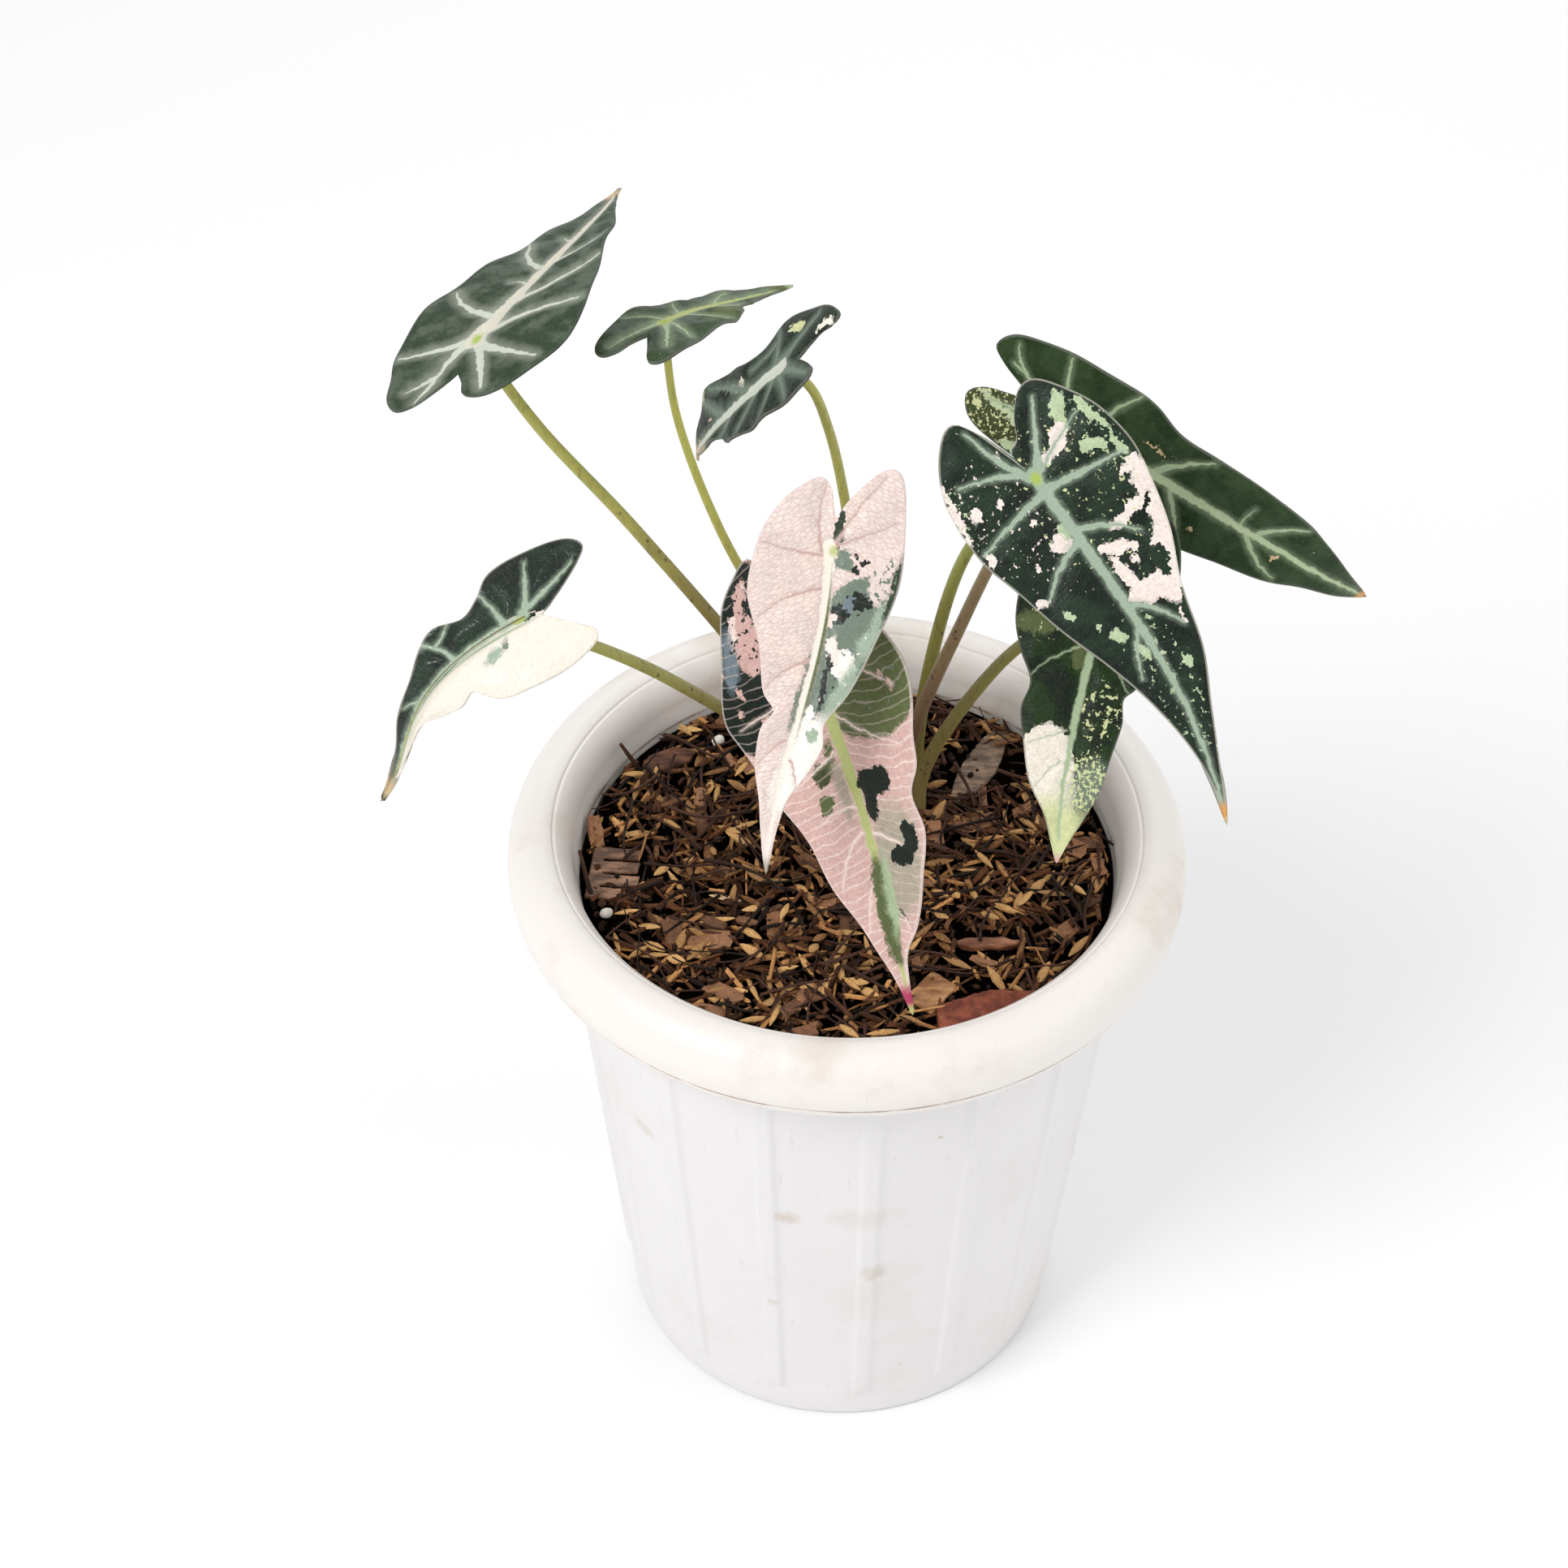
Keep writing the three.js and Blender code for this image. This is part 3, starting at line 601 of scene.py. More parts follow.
@dataclass(frozen=True)
class Vein:
    """A side vein on the flat plan: where it starts, bends and ends, and its half-width at the root."""

    start: Flat
    bend: Flat
    end: Flat
    width: float = 0.6

    def stretches(self, count: int = 3) -> list[Stretch]:
        """Straight stretches along the vein's curve, each with its two half-widths."""
        places = []
        for step in range(count + 1):
            share = step / count
            places.append(tuple(
                (1 - share) ** 2 * a + 2 * share * (1 - share) * b + share**2 * c
                for a, b, c in zip(self.start, self.bend, self.end)
            ))
        widths = [self.width * (1 - 0.8 * step / count) for step in range(count + 1)]
        return list(zip(places, places[1:], widths, widths[1:]))


@dataclass(frozen=True)
class Patch:
    """An oval mark on the flat plan: centre, half-sizes, tone, turn in degrees and how soft its edge is."""

    at: Flat
    reach: Flat
    tone: Tone
    turn: float
    edge: float
    ragged: bool


def marks(tone: Tone, *rows: Sequence[float], edge: float = 0.06, ragged: bool = True) -> tuple[Patch, ...]:
    """Patches of one tone, from rows of a centre, two half-sizes and, where it isn't 0, a turn."""
    return tuple(
        Patch((x, y), (ahead, aside), tone, turn[0] if turn else 0, edge, ragged)
        for x, y, ahead, aside, *turn in rows
    )


@dataclass(frozen=True)
class Flecks:
    """A region strewn with flecks: its oval, the flecks' tone and size in millimetres, and their cover."""

    at: Flat
    reach: Flat
    tone: Tone
    grain: float = 1.0
    cover: float = 0.3
    turn: float = 0.0


@dataclass(frozen=True)
class LeafFinish:
    """How one leaf is coloured and how glossy it is."""

    base: Tone
    mottle: Tone
    vein: Tone
    veins: tuple[Vein, ...]
    midrib: Tone
    patches: tuple[Patch, ...] = ()
    flecks: tuple[Flecks, ...] = ()
    late_patches: tuple[Patch, ...] = ()
    midrib_width: float = 1.2
    sway: float = 0.0
    halo: float = 1.4
    halo_share: float = 0.45
    net: Tone = Tone.SILVER_WASH
    net_share: float = 0.15
    net_cell: float = 1.1
    arc_share: float = 0.0
    rim: Tone = Tone.MARGIN_GREY
    rim_share: float = 0.5
    tip: Tone = Tone.TAN
    tip_end: Tone = Tone.TIP_BROWN
    tip_length: float = 8.0
    roughness: float = 0.42
    gloss: float = 0.22
    wander: float = 2.0
    tint_depth: float = 0.11
    underside: Tone = Tone.GREY_GREEN
    stalk_top: Rgb = (158, 164, 88)
    stalk_foot: Rgb = (122, 104, 72)
    puff: float = 0.7

    def midrib_veins(self, length: float) -> list[Stretch]:
        """The midrib's straight stretches, which sway to one side of the plan's middle."""
        count = 6
        stations = [length * step / count for step in range(count + 1)]
        places = [(-1.5, 0.0), *((station, self.middle(station, length)) for station in stations[1:])]
        widths = [self.midrib_width * (1 - 0.85 * (step / count) ** 1.1) for step in range(count + 1)]
        return list(zip(places, places[1:], widths, widths[1:]))

    def middle(self, along: float, length: float) -> float:
        """How far to the left of the plan's middle the midrib runs."""
        return self.sway * math.sin(math.pi * min(max(along / length, 0), 1))

    def all_veins(self, length: float) -> list[Stretch]:
        """Every straight stretch of the midrib and of the side veins."""
        side = [stretch for vein in self.veins for stretch in vein.stretches()]
        return self.midrib_veins(length) + side


def vein_clearance(plan: Array, stretches: Sequence[Stretch]) -> Array:
    """How far each flat point lies from the nearest vein, in millimetres."""
    nearest = np.full(len(plan), 99.0)
    for start, end, _, _ in stretches:
        first = np.array(start)
        run = np.array(end) - first
        share = np.clip((plan - first) @ run / (run @ run), 0, 1)
        nearest = np.minimum(nearest, np.linalg.norm(plan - first - share[:, None] * run, axis=1))
    return nearest


@dataclass(frozen=True)
class LeafForm:
    """One leaf's shape in millimetres: the midrib's four control points, the way its face looks at both
    ends, the two halves' fold and curl in degrees, the flat outline, the stalk's route and its girth."""

    node: str
    slot: str
    midrib: tuple[Point, Point, Point, Point]
    facing: tuple[Point, Point]
    fold: Flat
    curl: float
    neck: float
    left: tuple[Flat, ...]
    right: tuple[Flat, ...]
    stalk: tuple[Sequence[float], ...]
    girth: float = 1.0


@dataclass
class Leaf:
    """A blade with its midrib and stalk, grown as one, in millimetres.

    A vein's colour sets in between the two depths of its edge, negative outside the vein. The rim's colour
    fades between the two distances of its edge from the margin.
    """

    form: LeafForm
    finish: LeafFinish
    effects: LeafEffects
    rows: int = 120
    columns: int = 30
    lobe_share: float = 0.42
    vein_lean: float = 0.8
    lobe_droop: float = 0.5
    thickness: float = 0.7
    foot_radius: float = 2.1
    top_radius: float = 1.25
    root_level: float = 138.0
    waves: float = 5.5
    wave_height: float = 0.55
    arc_cover: float = 0.4
    vein_edge: Flat = (-0.22, 0.16)
    midrib_edge: Flat = (-0.3, 0.25)
    rim_edge: Flat = (0.2, 0.55)
    spine: Route = field(init=False)
    stretches: list[Stretch] = field(init=False)

    def __post_init__(self) -> None:
        """Works out the midrib's line and the veins."""
        self.spine = Route.bezier(self.form.midrib)
        self.stretches = self.finish.all_veins(self.form.left[-1][0])

    @property
    def length(self) -> float:
        """The flat blade's length from the joint to the tip."""
        return self.form.left[-1][0]

    def frame(self, along: Array) -> tuple[Array, Array, Array]:
        """The midrib's heading, the face's normal and the leftward side at shares of the length."""
        heading = self.spine.heading(along)
        base, tip = (np.array(way) / np.linalg.norm(way) for way in self.form.facing)
        facing = base + (tip - base) * along[:, None]
        facing /= np.linalg.norm(facing, axis=1, keepdims=True)
        normal = facing - heading * np.sum(facing * heading, axis=1, keepdims=True)
        normal /= np.linalg.norm(normal, axis=1, keepdims=True)
        return heading, normal, np.cross(normal, heading)

    def surface(self, plan: Array, lift: Array | float = 0.0) -> Array:
        """Bends flat points into space.

        Args:
            plan: Flat points, x forward from the joint and y to the left.
            lift: Height above the face.

        Returns:
            The points in millimetres.
        """
        x, y = plan[:, 0], plan[:, 1]
        along = np.clip(x / self.spine.length, 0, 1)
        behind = np.minimum(x, 0)[:, None]
        heading, normal, side = self.frame(along)
        fold = np.radians(np.where(y >= 0, self.form.fold[0], self.form.fold[1]))
        curl = math.radians(self.form.curl) / (0.25 * self.spine.length)
        angle = (fold + 0.5 * curl * np.abs(y))[:, None]
        droop = -self.lobe_droop * behind**2 / (2 * self.spine.length)
        reach = np.abs(y)[:, None]
        rise = np.broadcast_to(np.asarray(lift, float), x.shape)[:, None]
        return (self.spine.at(along) + heading * behind + normal * (droop + rise)
                + side * y[:, None] * np.cos(angle) + normal * reach * np.sin(angle))

    def rulings(self, outline: Sequence[Flat], share: Array) -> tuple[Array, Array]:
        """Where the lines across one half start on the midrib and end on the margin.

        Args:
            outline: The half's outline from the sinus to the tip.
            share: Shares of the way from the sinus to the tip.

        Returns:
            The starts and the ends as flat points.
        """
        margin = Route.through(outline, power=0.0)
        samples = margin.at(np.linspace(0, 1, 1600))
        reached = np.maximum.accumulate(samples[:, 0] - self.vein_lean * np.abs(samples[:, 1]))
        shoulder = int(np.argmax(reached >= 0))
        lobe = share < self.lobe_share
        front = (share - self.lobe_share) / (1 - self.lobe_share)
        root = np.where(lobe, 0, self.length * np.clip(front, 0, 1))
        climbing = reached[shoulder:] + np.linspace(0, 1e-6, len(reached) - shoulder)
        index = np.where(lobe, shoulder * share / self.lobe_share,
                         np.interp(root, climbing, np.arange(shoulder, len(samples))))
        numbers = np.arange(len(samples))
        end = np.stack([np.interp(index, numbers, axis) for axis in samples.T], axis=1)
        starts = [self.finish.middle(value, self.length) for value in root]
        return np.stack([root, starts], axis=1), end

    def relief(self, plan: Array, out: Array, share: Array) -> Array:
        """The face's small heights: puffed between veins, sunk along them and waved at the margin."""
        away = vein_clearance(plan, self.stretches)
        puff = self.finish.puff * (smooth(away, 0.3, 4.2) - 0.4) * (1 - smooth(out, 0.8, 1.0))
        phase = 2 * math.pi * share * self.waves + len(self.form.node)
        wave = self.wave_height * np.sin(phase) * out**3 * np.sin(math.pi * share)
        quiet = 1 - smooth(plan[:, 0] / self.length, 0.8, 1.0)
        return (puff + wave) * quiet

    def half(self, outline: Sequence[Flat], leftward: bool) -> Mesh:
        """One half of the blade's upper face."""
        shares = np.linspace(0, 1, self.rows + 1)
        starts, ends = self.rulings(outline, shares)

        def plan(across: Array, along: Array) -> Array:
            """A grid point's place on the flat plan."""
            out = across if leftward else 1 - across
            row = np.rint(along * self.rows).astype(int)
            return starts[row] + (ends[row] - starts[row]) * out[:, None]

        def place(across: Array, along: Array) -> Array:
            """A grid point's place in space."""
            out = across if leftward else 1 - across
            flat = plan(across, along)
            return self.surface(flat, self.relief(flat, out, along))

        def plan_map(across: Array, along: Array) -> Array:
            """The plan as a UV map."""
            return plan(across, along) / PLAN_UNIT

        def rim_map(across: Array, along: Array) -> Array:
            """How far out a point lies, and its distance from the margin."""
            out = across if leftward else 1 - across
            row = np.rint(along * self.rows).astype(int)
            width = np.linalg.norm(ends[row] - starts[row], axis=1)
            return np.stack([out, (1 - out) * width / PLAN_UNIT], axis=1)

        return grid_mesh(self.columns, self.rows, place, {"plan": plan_map, "rim": rim_map})

    def blade_mesh(self) -> Mesh:
        """Both halves joined along the midrib and given their thickness."""
        mesh = self.half(self.form.left, True)
        add_mesh(mesh, self.half(self.form.right, False))
        bmesh.ops.remove_doubles(mesh, verts=mesh.verts, dist=2e-6)
        bmesh.ops.reverse_faces(mesh, faces=mesh.faces)
        mesh.normal_update()
        lowered = bmesh.ops.extrude_face_region(mesh, geom=mesh.faces[:], use_keep_orig=True)["geom"]
        for element in lowered:
            if isinstance(element, bmesh.types.BMVert):
                element.co -= element.normal * self.thickness * MM
            elif isinstance(element, bmesh.types.BMFace):
                element.material_index = 1
        bmesh.ops.recalc_face_normals(mesh, faces=mesh.faces)
        return mesh

    def stalk_route(self) -> Route:
        """The stalk's line from the mix to the blade's joint."""
        joint = np.array(self.form.midrib[0])
        facing = np.array(self.form.facing[0]) / np.linalg.norm(self.form.facing[0])
        root, *middle = self.form.stalk
        points = [(root[0], root[1], self.root_level), *middle]
        points += [tuple(joint - facing * self.form.neck), tuple(joint - facing * 1.0)]
        return Route.through(points)

    def stalk_mesh(self) -> Mesh:
        """The stalk, and the midrib's round ridge under the blade."""
        def stalk_radius(share: Array) -> Array:
            """Slimmer towards the blade, wider again at the joint and at the sheathing foot."""
            slim = self.foot_radius + (self.top_radius - self.foot_radius) * share**0.7
            foot = 0.5 * (1 - smooth(share, 0.0, 0.14))
            return self.form.girth * (slim + foot + 0.3 * smooth(share, 0.965, 1.0))

        def ridge_radius(share: Array) -> Array:
            """Round at the joint and fine at the tip."""
            return 0.95 * (1 - share) ** 0.8 * smooth(share, -0.12, 0.05) + 0.1

        mesh = tube_mesh(self.stalk_route(), stalk_radius, 70, 20)
        stations = np.linspace(-1.5, 0.9 * self.length, 40)
        middles = [self.finish.middle(value, self.length) for value in stations]
        depth = -self.thickness + 0.25 - ridge_radius(np.linspace(0, 1, 40))
        ridge = Route(self.surface(np.stack([stations, middles], axis=1), depth))
        add_mesh(mesh, tube_mesh(ridge, ridge_radius, 44, 12))
        return mesh

    def build(self) -> bpy.types.Object:
        """Makes the whole leaf as one piece in place of its CAD node."""
        mesh = self.blade_mesh()
        stalk = self.stalk_mesh()
        for face in stalk.faces:
            face.material_index = 2
        add_mesh(mesh, stalk)
        materials = [self.face_material(), self.underside_material(), self.stalk_material()]
        return finish_piece(f"{self.form.node}_grown", mesh, materials, [self.form.node])

    def stroke(self, make: Shader, plan: object, stretches: Sequence[Stretch]) -> object:
        """How deep a point lies inside the veins, in millimetres and negative outside them."""
        depth: object = -9.0
        for start, end, first, last in stretches:
            run = (end[0] - start[0], end[1] - start[1], 0.0)
            stretch = make.group(self.effects.vein, Plan=plan, Start=(*start, 0.0), Run=run, Deep=depth,
                                 First=first, Last=last)
            depth = stretch.outputs[0]
        return depth

    def marked(self, make: Shader, colour: object, plan: object, ragged: object,
               patches: Sequence[Patch]) -> object:
        """Lays patches over a colour, one after the other."""
        before: object = 0.0
        for patch in patches:
            mask = make.group(self.effects.patch, Plan=ragged if patch.ragged else plan,
                              Centre=(*patch.at, 0.0), Reach=(*patch.reach, 1.0),
                              Turn=math.radians(patch.turn), Edge=patch.edge, Before=before)
            before = mask.outputs[0]
            colour = make.mix(before, colour, paint(patch.tone))
        return colour

    def strewn(self, make: Shader, colour: object, plan: object) -> object:
        """Strews the flecks over a colour."""
        for number, flecks in enumerate(self.finish.flecks):
            region = make.group(self.effects.patch, Plan=plan, Centre=(*flecks.at, 0.0),
                                Reach=(*flecks.reach, 1.0), Turn=math.radians(flecks.turn), Edge=0.35)
            spots = make.group(self.effects.flecks, Plan=plan, Grain=flecks.grain,
                               Cover=make.times(region.outputs[0], flecks.cover), Seed=number + 1.0)
            mask = make.times(spots.outputs[0], make.math("GREATER_THAN", region.outputs[0], 0.02))
            colour = make.mix(mask, colour, paint(flecks.tone))
        return colour

    def face_material(self) -> Material:
        """The upper face: ground, variegation, veins, rim and tip, with their relief."""
        look = self.finish
        material, make = new_material(f"{self.form.node}_face")
        plan = make.plan(scale=PLAN_UNIT)
        ragged, cell_tint = make.group(self.effects.cells, Plan=plan, Wander=look.wander).outputs
        colour, net, arcs = self.ground(make, plan)
        colour = self.marked(make, colour, plan, ragged, look.patches)
        colour = make.mix(make.times(arcs, self.arc_cover * look.arc_share), colour, paint(look.vein))
        tint = make.ramp(cell_tint, 0.0, 1.0, 1 - look.tint_depth, 1 + 0.8 * look.tint_depth)
        colour = make.mix(1.0, colour, self.grey(make, tint), "MULTIPLY")
        colour = self.strewn(make, colour, plan)
        colour, depth = self.veined(make, colour, plan)
        colour = self.marked(make, colour, plan, ragged, look.late_patches)
        _, inward, _ = make.parts(make.plan("rim", PLAN_UNIT))
        colour = make.mix(make.ramp(inward, *self.rim_edge, look.rim_share, 0.0), colour, paint(look.rim))
        colour = self.tipped(make, colour, plan)
        normal = self.face_normal(make, plan, depth, net, arcs)
        dulled = make.noise(plan, 0.35, 2, 0.5)
        sheen = make.ramp(dulled, 0.3, 0.7, look.roughness - 0.06, look.roughness + 0.08)
        make.surface(colour, sheen, normal, Specular_IOR_Level=look.gloss)
        return material

    def ground(self, make: Shader, plan: object) -> tuple[Socket, Socket, Socket]:
        """The mottled ground's colour, and the masks of its net of small veins and of its arcs."""
        look = self.finish
        mottle = make.ramp(make.noise(plan, 0.12, 4, 0.6), 0.42, 0.6)
        colour = make.mix(mottle, paint(look.base), paint(look.mottle))
        net, arcs = make.group(self.effects.net, Plan=plan, Cell=look.net_cell).outputs
        colour = make.mix(make.times(net, look.net_share), colour, paint(look.net))
        return make.mix(make.times(arcs, look.arc_share), colour, paint(look.vein)), net, arcs

    def veined(self, make: Shader, colour: object, plan: object) -> tuple[Socket, Socket]:
        """Lays the side veins and then the midrib over a colour, each with its halo.

        Args:
            make: The material's shader.
            colour: The colour under the veins.
            plan: The flat place in millimetres.

        Returns:
            The colour, and how deep a point lies inside the veins.
        """
        look = self.finish
        count = len(look.midrib_veins(self.length))
        wavy = make.vector("SUBTRACT", make.noise(plan, 0.45, 3, 0.55, colour=True), (0.5, 0.5, 0.5))
        warped = make.vector("ADD", plan, make.vector("MULTIPLY", wavy, (1.5, 1.5, 0.0)))
        side = (self.stretches[count:], look.vein, self.vein_edge)
        middle = (self.stretches[:count], look.midrib, self.midrib_edge)
        depths = []
        for stretches, tone, edge in (side, middle):
            depth = self.stroke(make, warped, stretches)
            halo = make.ramp(depth, -look.halo, 0.1)
            colour = make.mix(make.times(halo, look.halo_share), colour, paint(look.vein))
            colour = make.mix(make.ramp(depth, *edge), colour, paint(tone))
            depths.append(depth)
        return colour, make.math("MAXIMUM", *depths)

    def face_normal(self, make: Shader, plan: object, depth: object, net: object, arcs: object) -> Socket:
        """The upper face's fine relief: sunk along the veins and the net, and crinkled between them."""
        groove = make.ramp(depth, -1.4, 0.3, 0.0, -1.0)
        crinkle = make.noise(make.stretch(plan, (1.0, 0.6, 1.0)), 0.8, 3, 0.6)
        height = make.plus(make.times(groove, 0.8), make.times(crinkle, 0.5))
        height = make.less(height, make.times(net, 0.22))
        height = make.less(height, make.times(arcs, 0.15))
        return make.bump(height, 0.0006, 0.55)

    def grey(self, make: Shader, value: object) -> object:
        """A grey of the value's brightness."""
        joined = make.add("ShaderNodeCombineColor")
        for socket in joined.inputs:
            make.feed(socket, value)
        return joined.outputs[0]

    def tipped(self, make: Shader, colour: object, plan: object) -> object:
        """Colours the leaf's drip tip."""
        along = make.plus(make.parts(plan)[0], make.times(make.noise(plan, 0.5, 2), 2.0))
        reach = self.finish.tip_length
        start = self.length - reach
        colour = make.mix(make.ramp(along, start, start + 0.5 * reach), colour, paint(self.finish.tip))
        last = make.ramp(along, self.length - 0.35 * reach, self.length)
        return make.mix(last, colour, paint(self.finish.tip_end))

    def underside_material(self) -> Material:
        """The underside: paler and duller, with the veins standing out."""
        look = self.finish
        material, make = new_material(f"{self.form.node}_underside")
        plan = make.plan(scale=PLAN_UNIT)
        ragged = make.group(self.effects.cells, Plan=plan, Wander=look.wander).outputs["Ragged"]
        colour = self.marked(make, paint(look.base), plan, ragged, look.patches)
        colour = make.mix(0.62, colour, paint(look.underside))
        net = make.group(self.effects.net, Plan=plan, Cell=look.net_cell).outputs["Net"]
        colour = make.mix(make.times(net, 0.3), colour, paint(look.vein))
        depth = self.stroke(make, plan, self.stretches)
        colour = make.mix(make.ramp(depth, -0.4, 0.2, 0.0, 0.8), colour, paint(look.vein))
        colour = self.tipped(make, colour, plan)
        height = make.plus(make.ramp(depth, -0.9, 0.3), make.times(net, 0.2))
        make.surface(colour, 0.6, make.bump(height, 0.0008, 0.6), Specular_IOR_Level=0.2)
        return material

    def stalk_material(self) -> Material:
        """The stalk: one tone at the blade and another at the foot, streaked and dotted with dark marks."""
        look = self.finish
        material, make = new_material(f"{self.form.node}_stalk")
        up = make.parts(make.plan())[0]
        along = make.math("MULTIPLY_ADD", make.noise(make.place(), 60.0, 2), 0.3, up)
        colour = make.mix(make.ramp(along, 0.35, 0.95), paint(look.stalk_foot), paint(look.stalk_top))
        streaks = make.noise(make.stretch(make.place(), (1.0, 1.0, 0.22)), 900.0, 3, 0.6)
        colour = make.mix(make.ramp(streaks, 0.5, 0.72, 0.0, 0.4), colour, paint((92, 84, 48)))
        dots = make.cells(make.stretch(make.place(), (1.0, 1.0, 0.6)), 620.0, "Distance")
        sparse = make.ramp(make.noise(make.place(), 260.0, 2), 0.5, 0.62)
        dotted = make.times(make.ramp(dots, 0.2, 0.34, 1.0, 0.0), sparse)
        fading = make.ramp(up, 0.5, 1.0, 0.85, 0.3)
        colour = make.mix(make.times(dotted, fading), colour, paint((74, 62, 38)))
        height = make.noise(make.stretch(make.place(), (1.0, 1.0, 0.15)), 1400.0, 2)
        make.surface(colour, 0.45, make.bump(height, 0.0003, 0.4))
        return material


